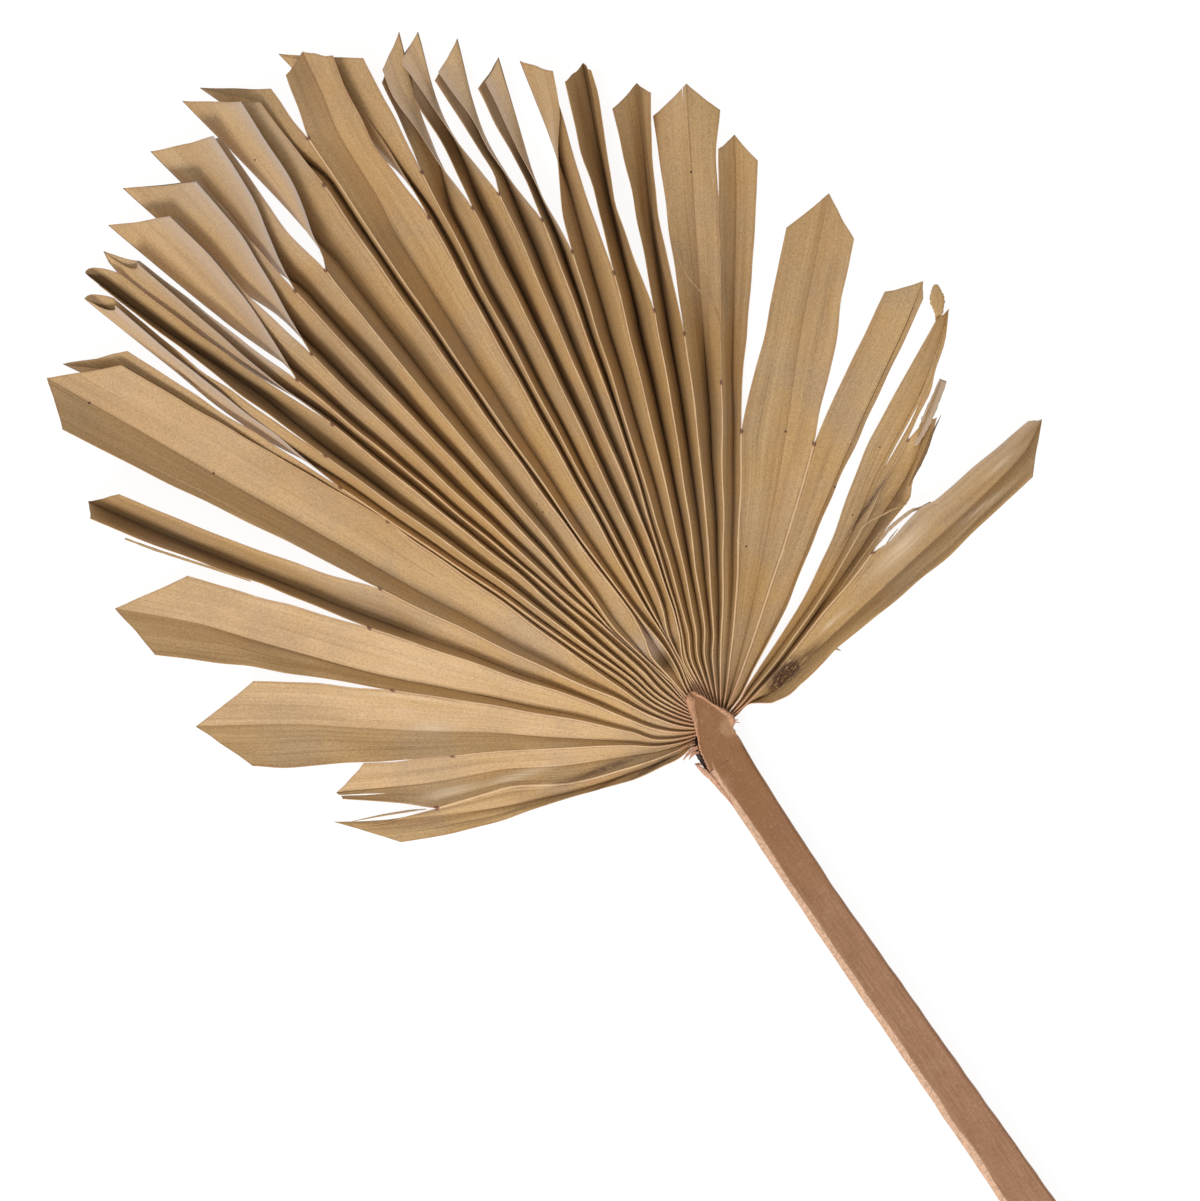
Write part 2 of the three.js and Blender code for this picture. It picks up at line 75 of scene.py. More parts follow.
PANEL_RIPPLE = 0.08  # height of its fine ripples
BITE_ROWS = 6  # rows over which a trimmed tip is drawn in
CREASE_DARKENING = 0.22  # how much darker, in the stain colour, the bottom of a pressed-in crease is
NO_NOTCH = 20  # added distance to a notch on the outer edges, which have none

RIBBON_STEPS = 8  # rings between two points of a ribbon's path
RIBBON_SIDES = 12
RIBBON_LEAST_WIDTH = 0.14
RIPPLE_WAVES = 5

STALK_TIP = 15.2
STALK_RIGHT_END = 11.6  # how far right the stalk's cut end reaches
STALK_THICKNESS = 10
ORIGIN = np.array([stalk_high.x - STALK_RIGHT_END * MM, stalk_high.y - STALK_TIP * MM, stalk_low.z])

# Where the folds start: around the pointed end of the stalk, from its left side to its right side, as x, y.
BASE_LINE = [
    [-13.8, -1.2], [-10.9, 2.2], [-9.1, 5], [-7.7, 8.6], [-6.8, 12.2], [-5.7, 16], [-3.7, 17.8],
    [-1, 16.8], [1.6, 13.2], [3.5, 9.5], [5.1, 5.6], [6.8, 2.4], [7.5, 0.6], [7.7, -0.8],
]

# Ridges between neighbouring segments, from left to right: the distance at which each one opens, and its
# distance, angle pairs up to there. The first and last are the blade's own outer edges.
BLADE_RIDGES = [
    (37, [[18, -97], [27, -93], [37, -90]]),
    (112, [[25, -86], [40, -82], [62, -78], [87, -73.5], [112, -73.5]]),
    (102, [[25, -76], [35, -70], [50, -66.5], [85, -64], [102, -63.8]]),
    (125, [[25, -70], [33, -62], [55, -55], [90, -52], [125, -51]]),
    (138, [[25, -60], [35, -53], [50, -47.3], [70, -44.7], [100, -42.7], [138, -41.5]]),
    (139, [[25, -50], [43, -42], [70, -39], [100, -36.7], [139, -35.2]]),
    (148, [[25, -45], [40, -36.7], [70, -30], [100, -27.3], [148, -25.5]]),
    (170, [[25, -40], [42, -31.8], [70, -28.3], [100, -26.2], [170, -25]]),
    (181, [[25, -36], [38, -29.3], [70, -25.4], [100, -23.7], [181, -22.7]]),
    (186, [[25, -32], [38, -26], [70, -21.8], [100, -20.1], [186, -19.2]]),
    (207, [[25, -27], [36, -22], [50, -20.1], [100, -18.3], [207, -17.8]]),
    (209, [[25, -21], [40, -17.4], [70, -16.7], [100, -16.1], [209, -14.8]]),
    (230, [[25, -17.5], [40, -15.8], [50, -16], [70, -14.2], [100, -12.8], [230, -11.4]]),
    (228, [[25, -15], [40, -15.2], [50, -14.8], [70, -11.7], [100, -9.8], [228, -7.95]]),
    (254, [[27, -13], [35, -12.5], [45, -7.3], [55, -5.3], [100, -4.6], [254, -3.3]]),
    (272, [[28, -3.6], [36, -2.4], [50, -3.6], [70, -3.7], [140, -3], [272, -2.1]]),
    (222, [[28, 0], [38, 1], [50, 0.7], [70, 1.2], [100, 2.1], [222, 3.2]]),
    (238, [[28, 1.2], [38, 2], [50, 2.5], [70, 3.5], [100, 3.9], [238, 4.6]]),
    (217, [[28, 2.2], [37, 3], [50, 6.9], [60, 7.8], [100, 7.9], [217, 7.35]]),
    (218, [[25, 3], [38, 9.2], [50, 11.3], [70, 12.1], [140, 11], [218, 10.45]]),
    (203, [[25, 6], [38, 10.7], [50, 12.8], [70, 13.6], [100, 14.4], [203, 13.6]]),
    (188, [[25, 9.5], [38, 14.4], [70, 15.8], [188, 15.6]]),
    (176, [[25, 15], [38, 19], [70, 20.3], [176, 19.75]]),
    (159, [[25, 20.5], [38, 24.3], [100, 24.5], [159, 23.95]]),
    (149, [[25, 27], [35, 29.3], [70, 29.2], [149, 27.75]]),
    (130, [[25, 34], [50, 34.4], [100, 33.5], [130, 33.2]]),
    (112, [[25, 42], [50, 40.4], [70, 38.8], [112, 37.2]]),
    (113, [[25, 55], [50, 53.5], [70, 52.8], [113, 51.6]]),
    (40, [[12, 69.5], [18, 66.8], [25, 64.5], [40, 63.4]]),
]

# Segments between those ridges. lean is where the midrib runs between its two ridges, 0 left to 1 right,
# near the hastula and at the split. left, rib and right go on from there to the trimmed tip as distance,
# angle pairs, and tops are the heights of their ends. Where it differs from the usual, a segment also
# has:
#   growth: the width that its panels gain for each mm of distance.
#   arch: how rounded its panels are near the hastula and far out, if not set by how tight the fold is.
#         Above 0 they swell up between ridge and midrib, and below 0 they sag.
#   bite: how far its left and right tip is cut in between edge and midrib, in mm. Below 0 it bulges.
#   end_shade and grey_and_sheen: how much painted shade browns its left and right panel beyond the split,
#   and how much painted grey sheen lies along their free edges there.
#   shade: how much painted shade browns its left and right panel from one distance to another.
#   pocket: the distances between which the fold gapes, and how strongly it is coloured there: painted
#   shade at its inner end and a grey tint further out.
BLADE_SEGMENTS = [
    dict(lean=[0.5, 0.5], tops=[6, 2.5, 4], arch=(0.1, 0), growth=0.12,
        left=[[52, -85], [72, -82], [100, -80], [129, -77.3]],
        rib=[[100, -76.4], [151.5, -71.2]],
        right=[[130, -73.5], [143, -72.8]]),
    dict(lean=[0.5, 0.5], tops=[5, 2, 5], arch=(-0.1, 0), growth=0.09,
        left=[[125, -70.8], [146, -68.2]],
        rib=[[130, -67.8], [148, -67.2]],
        right=[[120, -63.6], [136, -63.2]]),
    dict(lean=[0.15, 0.42], tops=[7, 1, 6], arch=(-0.1, 0), growth=0.085,
        left=[[140, -63], [165, -62.7], [178, -62.1]],
        rib=[[140, -57.6], [160, -57.1], [199.5, -57.3]],
        right=[[160, -51.3], [178, -51.7]]),
    dict(lean=[0.15, 0.22], tops=[9, 2, 7], arch=(0, 0), growth=0.085,
        left=[[150, -50.4], [185, -50], [216, -50]],
        rib=[[160, -47.5], [180, -46.8], [205, -46.1], [234.5, -46.2]],
        right=[[170, -41.5], [210, -41.4]]),
    dict(lean=[0.2, 0.25], tops=[15, 3, 15], growth=0.085, shade=(0.8, 0.5, 110, 262),
        left=[[180, -40], [225, -39.4], [251, -38.9]],
        rib=[[200, -38.6], [255, -37.6]],
        right=[[165, -36.1], [200, -36.3], [244, -36.05]]),
    dict(lean=[0.2, 0.27], tops=[15, 5, 12], arch=(0, 0), growth=0.085,
        left=[[180, -34], [210, -33.6], [273, -32.85]],
        rib=[[165, -31.7], [200, -31], [250, -30.2], [288, -29.8]],
        right=[[200, -25.8], [265, -26.05]]),
    dict(lean=[0.5, 0.5], tops=[6.7, 1.5, 10], growth=0.09,
        left=[[200, -26.4], [240, -27], [272, -27.2]],
        rib=[[180, -26], [230, -27.6], [285.5, -28.3]],
        right=[[200, -24.95], [266, -24.8]]),
    dict(lean=[0.35, 0.42], tops=[15, 4.5, 9], growth=0.096, bite=(5, -2.5), end_shade=(0, 0.8), grey_and_sheen=(0.9, 0),
        left=[[210, -23.7], [235, -23.3], [279, -22.3]],
        rib=[[205, -24.9], [225, -24.7], [250, -24], [291, -23.2]],
        right=[[230, -22.7], [281.5, -21.9]]),
    dict(lean=[0.3, 0.22], tops=[11, 4, 9], growth=0.096, bite=(1, -3.5), end_shade=(0.6, 0.95),
        shade=(0.4, 0.55, 140, 215),
        left=[[220, -22.4], [260, -22], [287.8, -21.75]],
        rib=[[220, -21.4], [260, -21.7], [296.5, -21.6]],
        right=[[220, -20], [250, -20.2], [285, -20.1]]),
    dict(lean=[0.25, 0.3], tops=[15, 5, 10], growth=0.096, bite=(6, 1), grey_and_sheen=(0.6, 0.6),
        left=[[215, -19.4], [250, -18.95], [282, -18.65]],
        rib=[[225, -20.1], [250, -20.4], [288, -20.1], [295.6, -19.5]],
        right=[[230, -18.2], [282, -18.4]]),
    dict(lean=[0.3, 0.22], tops=[15, 4, 9], growth=0.096, grey_and_sheen=(0.9, 0.3),
        left=[[225, -16.2], [245, -15], [265, -14.4], [284, -14.3]],
        rib=[[225, -17.6], [245, -17.9], [300.5, -17.8]],
        right=[[230, -14.8], [255, -14.4], [282, -14]]),
    dict(lean=[0.4, 0.22], tops=[14.5, 3.5, 9.5], growth=0.096, grey_and_sheen=(0.9, 0.3),
        left=[[230, -13.2], [250, -11.8], [268, -11.2], [286, -11]],
        rib=[[228, -14.2], [250, -15], [305.5, -15.1]],
        right=[[250, -11.2], [286, -10.7]]),
    dict(lean=[0.3, 0.22], tops=[15, 3.5, 9], growth=0.096, grey_and_sheen=(0.9, 0.3),
        left=[[235, -11.1], [243, -10.5], [252, -9.7], [265, -8.7], [280, -8.1], [294.5, -7.75]],
        rib=[[240, -11.3], [255, -11.8], [307.5, -11.85]],
        right=[[248, -8.3], [262, -8], [280, -7.6], [293, -7.45]]),
    dict(lean=[0.2, 0.32], tops=[14.5, 3.5, 9.5], growth=0.096, pocket=(28, 50, 0.75), grey_and_sheen=(0.9, 0.3),
        left=[[233, -7.3], [241, -6.8], [250, -6], [262, -5.3], [275, -5], [298, -4.6]],
        rib=[[241, -6.9], [260, -7.1], [313.5, -7.8]],
        right=[[275, -3.45], [294, -3.5]]),
    dict(lean=[0.65, 0.6], tops=[7.5, 0.6, 7], pocket=(26, 52, 0.95),
        left=[[275, -3.5], [294, -3.3]],
        rib=[[275, -4.2], [313.5, -6.3]],
        right=[[280, -2.25], [296, -2.25]]),
    dict(lean=[0.25, 0.34], tops=[17, 8.5, 16], arch=(0.1, 0.1),
        left=[[280, -1.6], [296, -0.8]],
        rib=[[240, 0], [265, 0.1], [285, 0.8], [301, 1.15]],
        right=[[230, 2.9], [240, 2.5], [255, 2.2], [280, 2.5], [293, 2.9]]),
    dict(lean=[0.5, 0.4], tops=[9, 2, 12],
        left=[[240, 3.1], [265, 2.8], [291, 2.3]],
        rib=[[240, 3], [265, 1.2], [306, -0.4]],
        right=[[250, 4.7], [287, 4.8]]),
    dict(lean=[0.35, 0.28], tops=[5.5, 10.5, 9], end_shade=(0.95, 0), pocket=(28, 48, 0.7), grey_and_sheen=(0, 0.5),
        left=[[250, 4.9], [276, 5.2]],
        rib=[[240, 6.5], [259, 6.9], [290, 8.1]],
        right=[[225, 7], [240, 6.35], [255, 5.9], [270, 5.45], [280, 5.7]]),
    dict(lean=[0.25, 0.28], tops=[5.5, 11, 9.5], end_shade=(0.95, 0), pocket=(28, 44, 0.6), grey_and_sheen=(0, 0.6),
        left=[[230, 7.5], [245, 7.35], [262, 6.95], [279, 6.65]],
        rib=[[240, 8.6], [253, 8.5], [287, 9.4]],
        right=[[225, 9.8], [240, 8.85], [255, 8.2], [280, 7.2]]),
    dict(lean=[0.15, 0.35], tops=[5.5, 11, 9.5], end_shade=(0.95, 0), grey_and_sheen=(0, 0.5),
        left=[[225, 10.65], [235, 10.3], [250, 9.7], [268, 9.1]],
        rib=[[225, 11.6], [243, 11.2], [279, 12]],
        right=[[211, 12.8], [225, 11.6], [245, 10.8], [270, 9.6]]),
    dict(lean=[0.5, 0.5], tops=[5.5, 11, 9.5], end_shade=(0.95, 0), grey_and_sheen=(0, 0.5),
        left=[[220, 13.3], [240, 12.6], [259, 12.15]],
        rib=[[215, 14.2], [240, 14.4], [267, 14.6]],
        right=[[200, 15], [215, 14.2], [240, 13.4], [260, 12.9]]),
    dict(lean=[0.65, 0.4], tops=[14.5, 4, 10],
        left=[[200, 15.8], [212, 16.3], [228, 17.3], [243, 18.4], [256, 18.6]],
        rib=[[210, 17.3], [225, 17], [245, 16.6], [264, 16.2]],
        right=[[190, 19.2], [210, 18.7], [254, 18.3]]),
    dict(lean=[0.7, 0.42], tops=[13, 2.5, 13], end_shade=(0.3, 0.85),
        left=[[200, 19.7], [225, 19.35], [251, 19.4]],
        rib=[[205, 21.1], [257.5, 21.3]],
        right=[[172, 23], [190, 22], [205, 21.6], [243, 22], [253, 21.8]]),
    dict(lean=[0.76, 0.46], tops=[12, 3, 12], end_shade=(0.1, 0.6),
        left=[[190, 23.7], [215, 23.4], [237.5, 23.05]],
        rib=[[190, 25.3], [246.5, 25.6]],
        right=[[165, 27], [190, 26.2], [205, 26], [225, 26.3], [241.5, 26.7]]),
    dict(lean=[0.74, 0.56], tops=[6, 9.5, 5.5],
        left=[[190, 27.1], [233, 26.7]],
        rib=[[150, 30.6], [200, 30.1], [244, 29.95]],
        right=[[180, 33], [215, 32.6], [234, 33]]),
    dict(lean=[0.76, 0.64], tops=[8, 2.5, 8],
        left=[[152, 33], [200, 32.8], [219, 32.8]],
        rib=[[140, 35], [200, 34.8], [225, 34.4]],
        right=[[130, 36.7], [150, 36.9], [180, 37], [215, 36.8]]),
    dict(lean=[0.6, 0.6], tops=[5.5, 0.5, 6], arch=(0, 0), growth=0.116,
        left=[[130, 38.3], [150, 39.5], [170, 40.1], [191, 40.6]],
        rib=[[160, 44.6], [207, 44.6]],
        right=[[128, 50.6], [150, 50], [170, 48.9], [192, 48.4]]),
    dict(lean=[0.85, 0.9], tops=[6, 3.5, 4], growth=0.1,
        left=[[135, 52.3], [155, 53.2], [176.5, 53.8]],
        rib=[[90, 58.6], [130, 58], [165, 58], [186, 57.6]],
        right=[[50, 62.7], [62, 61.3], [75, 60], [90, 59.3], [130, 58.7], [165, 58.6], [180, 58.5]]),
]

# The last two segments, split from the blade right down to the hastula. The first of them is torn in two
# along its length, and frayed.
OUTER_RIDGES = [
    (25, [[12, 71.5], [18, 68.2], [25, 67.6]]),
    (130, [[20, 76], [30, 75], [45, 73], [60, 71.6], [88, 69.2], [110, 67.3], [130, 66.3]]),
    (88, [[20, 82], [30, 79.5], [45, 77], [65, 75.5], [88, 74.6]]),
    (35, [[13, 87], [18, 95], [22, 100], [27, 100], [35, 96]]),
]

OUTER_SEGMENTS = [
    dict(lean=[0.5, 0.5], tops=[7, 3, 5], bite=(0.5, 0.3),
        left=[[50, 67], [68, 65.5], [92, 63], [110, 61.3], [125, 60.7], [150, 60.9], [175, 61.1]],
        rib=[[60, 70], [88, 67.6], [114, 64.9], [146, 64.2], [165, 63], [181, 61.8]],
        right=[[141.4, 65.6], [149.2, 65.4], [158, 64.3], [169, 63.4], [178.5, 62.1]]),
    dict(lean=[0.5, 0.5], tops=[6.5, 3, 5], shade=(0, 0.75, 60, 135),
        left=[[138.5, 66.9]],
        rib=[[60, 73.5], [88, 71.6], [102, 70.6], [114, 70.2], [124.6, 69.4], [141.5, 67.3]],
        right=[[99, 73.2], [112, 72.9], [118, 71.3], [125, 70.4], [132.5, 69.7], [143.4, 68.2]]),
    dict(lean=[0.5, 0.5], tops=[8, 1.5, 8.5], shade=(0.15, 0.55, 30, 200), grey_and_sheen=(0.55, 0),
        left=[[96, 75.7], [106, 75.5], [112.4, 75.6], [118.8, 76.8], [125.7, 77.1], [143, 77.7], [165, 78.4]],
        rib=[[50, 85], [70, 83.6], [105, 82.4], [130, 82], [155, 81.2], [169.5, 79.5]],
        right=[[46, 92], [55, 89.5], [75, 88], [105, 86.6], [130, 85.3], [152, 84.5]]),
]

# Thin slits in a panel, open at its tip or closed: segment number, panel, column, first and last
# distance, gap.
BLADE_SLITS = [
    (2, "left", 7, 124, 200, 0.9),
    (3, "right", 8, 186, 200, 0.5),
    (4, "left", 8, 215, 222, 0.5),
    (25, "left", 9, 232, 245, 0.5),
]
OUTER_SLITS = [
    (1, "right", 7, 111, 148, 2.6),
]

# Creases pressed along a panel: segment number, panel, column, first and last distance, depth.
BLADE_CREASES = [
    (1, "left", 5, 60, 120, 0.5), (1, "right", 4, 70, 140, 0.6), (1, "right", 8, 50, 110, -0.4),
    (2, "left", 4, 70, 120, 0.5), (2, "right", 6, 80, 125, 0.4), (27, "left", 5, 95, 145, 0.35),
    (27, "right", 6, 100, 190, 0.4), (28, "left", 6, 60, 120, 0.3), (3, "right", 5, 60, 150, -0.3),
    (26, "left", 5, 60, 180, 0.25), (25, "right", 6, 130, 220, -0.35), (14, "left", 6, 250, 290, -0.4),
]
OUTER_CREASES = [
    (3, "left", 3, 70, 165, 0.6), (3, "left", 6, 90, 168, -0.6), (3, "left", 8, 110, 166, 0.6),
    (3, "right", 4, 60, 150, 0.5), (3, "right", 8, 80, 160, -0.5), (1, "left", 5, 60, 110, 0.4),
    (2, "left", 5, 60, 125, 0.5), (2, "right", 6, 70, 130, -0.4),
]


# Small dark specks on the leaf: x, y, radius.
SPECKS = [
    (-31.5, 276.2, 0.4), (-109.5, 185, 0.5), (-134.6, 233.1, 0.55), (82, 80.1, 0.5), (108.7, 55.6, 0.35),
    (86, 39.5, 0.35), (105.2, 182.3, 0.45), (105.7, 62.9, 0.35), (86.1, 52.1, 0.4), (-12.3, 104.5, 0.35),
    (-12.6, 108.5, 0.3), (45.5, 51.5, 0.45),
]
PALE_PATCH = (2.6, -2.5, 3.6)  # a pale place on the stalk, the same way

# Rotten dark patches: x, y of the middle, size along the veins and across them, strength.
STAINS = [
    (32, 3, 9, 3.8, 1.45), (27, 1.2, 5.5, 2.4, 1.3), (43, 4.6, 7, 1.8, 0.8), (20, 0.3, 5, 0.7, 0.8),
    (92, 39, 15, 0.8, 1), (-46, 9.8, 20, 1.4, 0.85), (-27, 0.4, 12, 1, 0.9), (-50, 4.5, 18, 0.6, 0.6),
]

# Painted highlights: pale streaks, the same way.
PAINTED_HIGHLIGHTS = [
    (94.5, 18.4, 12, 2.5, 0.6), (145, 25, 9, 0.8, 0.9), (59.5, 10, 8, 0.5, 0.9), (129.8, 15.3, 10, 0.6, 0.8),
    (-98.5, 33.8, 12, 1.6, 0.7), (-74.7, 25.3, 12, 1.4, 0.8), (-92.8, 58.5, 9, 2.5, 0.3),
]

# What is known about each point of a sheet, for its material. across is 0 at a panel's ridge and 1 at its
# midrib, reach, from_ridge, from_rib, to_tip and to_notch are distances, joined is 1 up to the split,
# tone is one random number for the panel, and the rest say how strongly a point takes painted shade, grey
# (a painted sheen on panels, some shreds' own colour), rot and crease darkening, and painted highlights.
FACTS = (
    "across", "reach", "from_ridge", "from_rib", "joined", "to_tip", "to_notch", "tone",
    "painted_shade", "grey_and_sheen", "stain", "painted_highlight",
)
# The same for a ribbon, and for the stalk's material its place across and along it and how much of its pale
# rim colour it takes.
RIBBON_FACTS = dict(
    across=0.5, reach=60, from_ridge=3, from_rib=3, joined=0, to_tip=20, to_notch=20, tone=0.4,
    painted_shade=0, grey_and_sheen=0, stain=0, sideways=0, along=0, rim_share=0,
)


def smoothstep(t):
    u = np.clip(t, 0, 1)
    return u * u * (3 - 2 * u)


def polar(distance, angle, height):
    """x, y, z of a place on the blade."""
    a = np.radians(angle)
    return np.stack(np.broadcast_arrays(distance * np.sin(a), distance * np.cos(a), height), axis=-1)


def ripple(seed, *coordinates):
    """A smooth, repeatable wobble of about -1 to 1 over coordinates, with features about 1 unit long."""
    random = np.random.default_rng(seed)
    total = 0
    for _ in range(RIPPLE_WAVES):
        turns = random.uniform(0.35, 1.1, len(coordinates)) * random.choice([-1, 1], len(coordinates))
        phase = random.uniform(0, 2 * math.pi)
        total = total + np.sin(sum(c * t for c, t in zip(coordinates, turns)) * 2 * math.pi + phase)
    return total / RIPPLE_WAVES * 1.6


def curve_through(knots):
    """A smooth curve through distance, angle pairs that never overshoots between them."""
    x = np.array([k[0] for k in knots], float)
    y = np.array([k[1] for k in knots], float)
    chord = np.diff(y) / np.diff(x)
    slope = np.concatenate([chord[:1], np.zeros(len(x) - 2), chord[-1:]])
    for i in range(1, len(x) - 1):
        before, after = chord[i - 1], chord[i]
        if before * after > 0:
            slope[i] = 2 * before * after / (before + after)

    def at(distance):
        d = np.asarray(distance, float)
        i = np.clip(np.searchsorted(x, d) - 1, 0, len(x) - 2)
        width = x[i + 1] - x[i]
        t = np.clip((d - x[i]) / width, 0, 1)
        bend = (slope[i] - chord[i]) * (1 - t) - (slope[i + 1] - chord[i]) * t
        return y[i] + chord[i] * width * t + bend * width * t * (1 - t)

    return at


def base_at(share):
    """The point a share of the way along the line where the folds start, as distance and angle."""
    line = np.array(BASE_LINE, float)
    along = np.concatenate([[0], np.cumsum(np.linalg.norm(np.diff(line, axis=0), axis=1))])
    x, y = (np.interp(share * along[-1], along, line[:, i]) for i in (0, 1))
    return math.hypot(x, y), math.degrees(math.atan2(x, y))


def rib_height(distance):
    descent = smoothstep((distance - RIB_DESCENT_START) / RIB_DESCENT)
    return RIB_HEIGHT_AT_BASE + (RIB_HEIGHT - RIB_HEIGHT_AT_BASE) * descent


def fold_depth(distance, degrees, growth):
    """How deep a fold is when its panels keep their width while its ridges stand this far apart."""
    half = distance * np.radians(degrees) / 2
    width = np.minimum(FOLD_WIDTH_LIMIT, FOLD_WIDTH_AT_BASE + growth * distance)
    depth = np.sqrt(np.maximum(0, width * width - half * half))
    return np.minimum(FOLD_MAX_STEEPNESS * half, np.maximum(FOLD_MIN_DEPTH, depth))


def row_share(row):
    return (np.asarray(row) / ROWS) ** ROW_CROWDING


def patches(points, table):
    """How strongly each point is covered by the patches of a table."""
    total = 0
    for x, y, long, wide, strength in table:
        away = math.atan2(x, y)
        dx, dy = points[..., 0] - x, points[..., 1] - y
        along = dx * math.sin(away) + dy * math.cos(away)
        aside = dx * math.cos(away) - dy * math.sin(away)
        total = np.maximum(total, strength * np.exp(-((along / long) ** 2) - (aside / wide) ** 2))
    return total


class Sheet:
    """A folded sheet of segments, which share their points along each ridge up to where it splits."""

    def __init__(self, ridges, segments, shares, slits, creases, seed):
        self.segments, self.slits, self.creases, self.seed = segments, slits, creases, seed
        self.edges = (0, len(ridges) - 1)
        self.points, self.faces = [], []
        self.facts = {name: [] for name in FACTS}
        self.ridges = []
        for i, (split, path) in enumerate(ridges):
            base = base_at(shares[0] + (shares[1] - shares[0]) * i / (len(ridges) - 1))
            base = (base[0] - TUCK, base[1])
            beside = [segments[j]["rib"][-1][0] for j in (i - 1, i) if 0 <= j < len(segments)]
            share = (split - base[0]) / (sum(beside) / len(beside) - base[0])
            row = int(np.clip(round(ROWS * share ** (1 / ROW_CROWDING)), 1, ROWS - 1))
            self.ridges.append(dict(split=split, base=base, row=row, path=curve_through([base, *path])))
        shared = None
        for i in range(len(segments)):
            shared = self.add_segment(i, shared)

    def ridge_angle(self, i, distance):
        """A ridge's angle, with the small wobble of a grown edge."""
        wobble = RIDGE_WOBBLE * ripple(self.seed + i, distance / 28) * smoothstep((distance - 20) / 40)
        return self.ridges[i]["path"](distance) + np.degrees(wobble / np.maximum(distance, 10))

    def ridge_height(self, i, distance):
        depths = []
        for j in (i - 1, i):
            if 0 <= j < len(self.segments):
                width = self.ridges[j + 1]["path"](distance) - self.ridges[j]["path"](distance)
                depths.append(fold_depth(distance, width, self.segments[j].get("growth", FOLD_GROWTH)))
        # The folds on the left lie more open near the stalk.
        opened = np.interp(self.ridges[i]["path"](60), [-70, -20], [0.35, 0]) * np.exp(-distance / 60)
        mean = sum(depths) / len(depths) * (1 - opened)
        return rib_height(distance) + mean * (1 + 0.05 * ripple(self.seed + 50 + i, distance / 45))

    def edge(self, i, free, top, side):
        """One edge of a segment, row by row: along its ridge to the split, then along its own free edge."""
        ridge = self.ridges[i]
        start, split, turn = ridge["base"][0], ridge["split"], ridge["row"]
        end = free[-1][0]
        rows = np.arange(ROWS + 1)
        joined = rows <= turn
        share, bend = row_share(rows), row_share(turn)
        distance = np.where(
            joined,
            start + (split - start) * share / bend,
            split + (end - split) * (share - bend) / (1 - bend),
        )
        past = np.clip((distance - split) / (end - split), 0, 1)
        swing = np.sin(np.pi * past)
        number = self.seed + 2 * i + side
        wobble = FREE_EDGE_WOBBLE * ripple(number + 100, distance / 22) * swing
        onwards = curve_through([[split, float(self.ridge_angle(i, split))], *free])(distance)
        onwards = onwards + np.degrees(wobble / np.maximum(distance, 10))
        angle = np.where(joined, self.ridge_angle(i, distance), onwards)
        split_height = self.ridge_height(i, split)
        height = np.where(joined, self.ridge_height(i, distance), split_height + (top - split_height) * past)
        height = height + FREE_EDGE_WAVE * ripple(number + 200, distance / 30) * swing
        return polar(distance, angle, height + RIDGE_CORD * joined), distance, joined.astype(float)

    def rib(self, i, top):
        """A segment's midrib, row by row: between its two ridges, then along its own free line."""
        left, right = self.ridges[i], self.ridges[i + 1]
        segment = self.segments[i]
        free = segment["rib"]
        start = (left["base"][0] + right["base"][0]) / 2
        split = min(left["split"], right["split"], free[0][0] - 5)
        end = free[-1][0]
        distance = start + (end - start) * row_share(np.arange(ROWS + 1))

        def inside(d):
            lean = segment["lean"][0] + (segment["lean"][1] - segment["lean"][0]) * smoothstep(d / split)
            a = self.ridge_angle(i, d)
            return a + (self.ridge_angle(i + 1, d) - a) * lean

        knots = [[d, float(inside(d))] for d in (split - 12, split)]
        angle = np.where(distance <= split, inside(distance), curve_through([*knots, *free])(distance))
        past = np.clip((distance - split) / (end - split), 0, 1)
        free_height = rib_height(split) + (top - rib_height(split)) * past
        height = np.where(distance <= split, rib_height(distance), free_height)
        return polar(distance, angle, height), distance

    def panel(self, i, right, edge, rib, joined, tight):
        """One panel, in columns from its ridge to its midrib. right is 1 for a right panel, else 0."""
        (edge_points, edge_reach), (rib_points, rib_reach) = edge, rib
        segment, split = self.segments[i], self.ridges[i + right]["split"]
        number = self.seed + 300 + 2 * i + right
        t = np.array(COLUMNS)[None, :]
        reach = edge_reach[:, None] + (rib_reach - edge_reach)[:, None] * t
        past = np.maximum(0, edge_reach - split)

        # The arch of the panel between its ridge and its midrib.
        snug = (0.15, 0.4)[right] * smoothstep((tight - 0.3) / 0.6)
        if "arch" in segment:
            near, far = segment["arch"]
            snug = near + (far - near) * smoothstep((edge_reach - 60) / 90)
        snug = (snug * np.exp(-past / 18))[:, None]
        early, late = np.sin(t * np.pi / 2) - t, 1 - np.cos(t * np.pi / 2) - t
        out = t + np.where(snug > 0, snug * early, -snug * late)
        down = t + np.where(snug > 0, snug * late, -snug * early)
        step = (rib_points - edge_points)[:, None]
        flat = edge_points[:, None] + step * np.stack([out, out, down], axis=-1)

        # Its broad swells and fine ripples, which stand off it at right angles.
        across = (rib_points - edge_points) * (1, -1)[right]
        width = np.linalg.norm(across, axis=1)[:, None]
        normal = np.cross(across, np.gradient((edge_points + rib_points) / 2, axis=0))
        normal /= np.linalg.norm(normal, axis=1)[:, None]
        limit = np.minimum(1, width / 9) * np.sin(np.pi * t)
        loose = (0.5 + 0.5 * smoothstep(past / 30))[:, None]
        swell = PANEL_SWELL * loose * limit * ripple(number, t * width / 9, reach / 55)
        swell = swell + PANEL_RIPPLE * limit * ripple(number + 100, t * 5, reach / 90)
        points = flat + swell[..., None] * normal[:, None]

        # Its trimmed end, drawn in between its edge and its midrib over the last rows.
        bite = segment.get("bite", (0.4, 0.4))[right] + 0.35 * ripple(number + 200, t * 1.7)
        last_rows = np.clip(np.arange(ROWS + 1) - ROWS + BITE_ROWS, 0, BITE_ROWS)[:, None] / BITE_ROWS
        drawn = last_rows * bite * 4 * t * (1 - t)
        ending = points[-1] - points[-4]
        points = points - drawn[..., None] * ending / np.linalg.norm(ending, axis=1)[:, None]

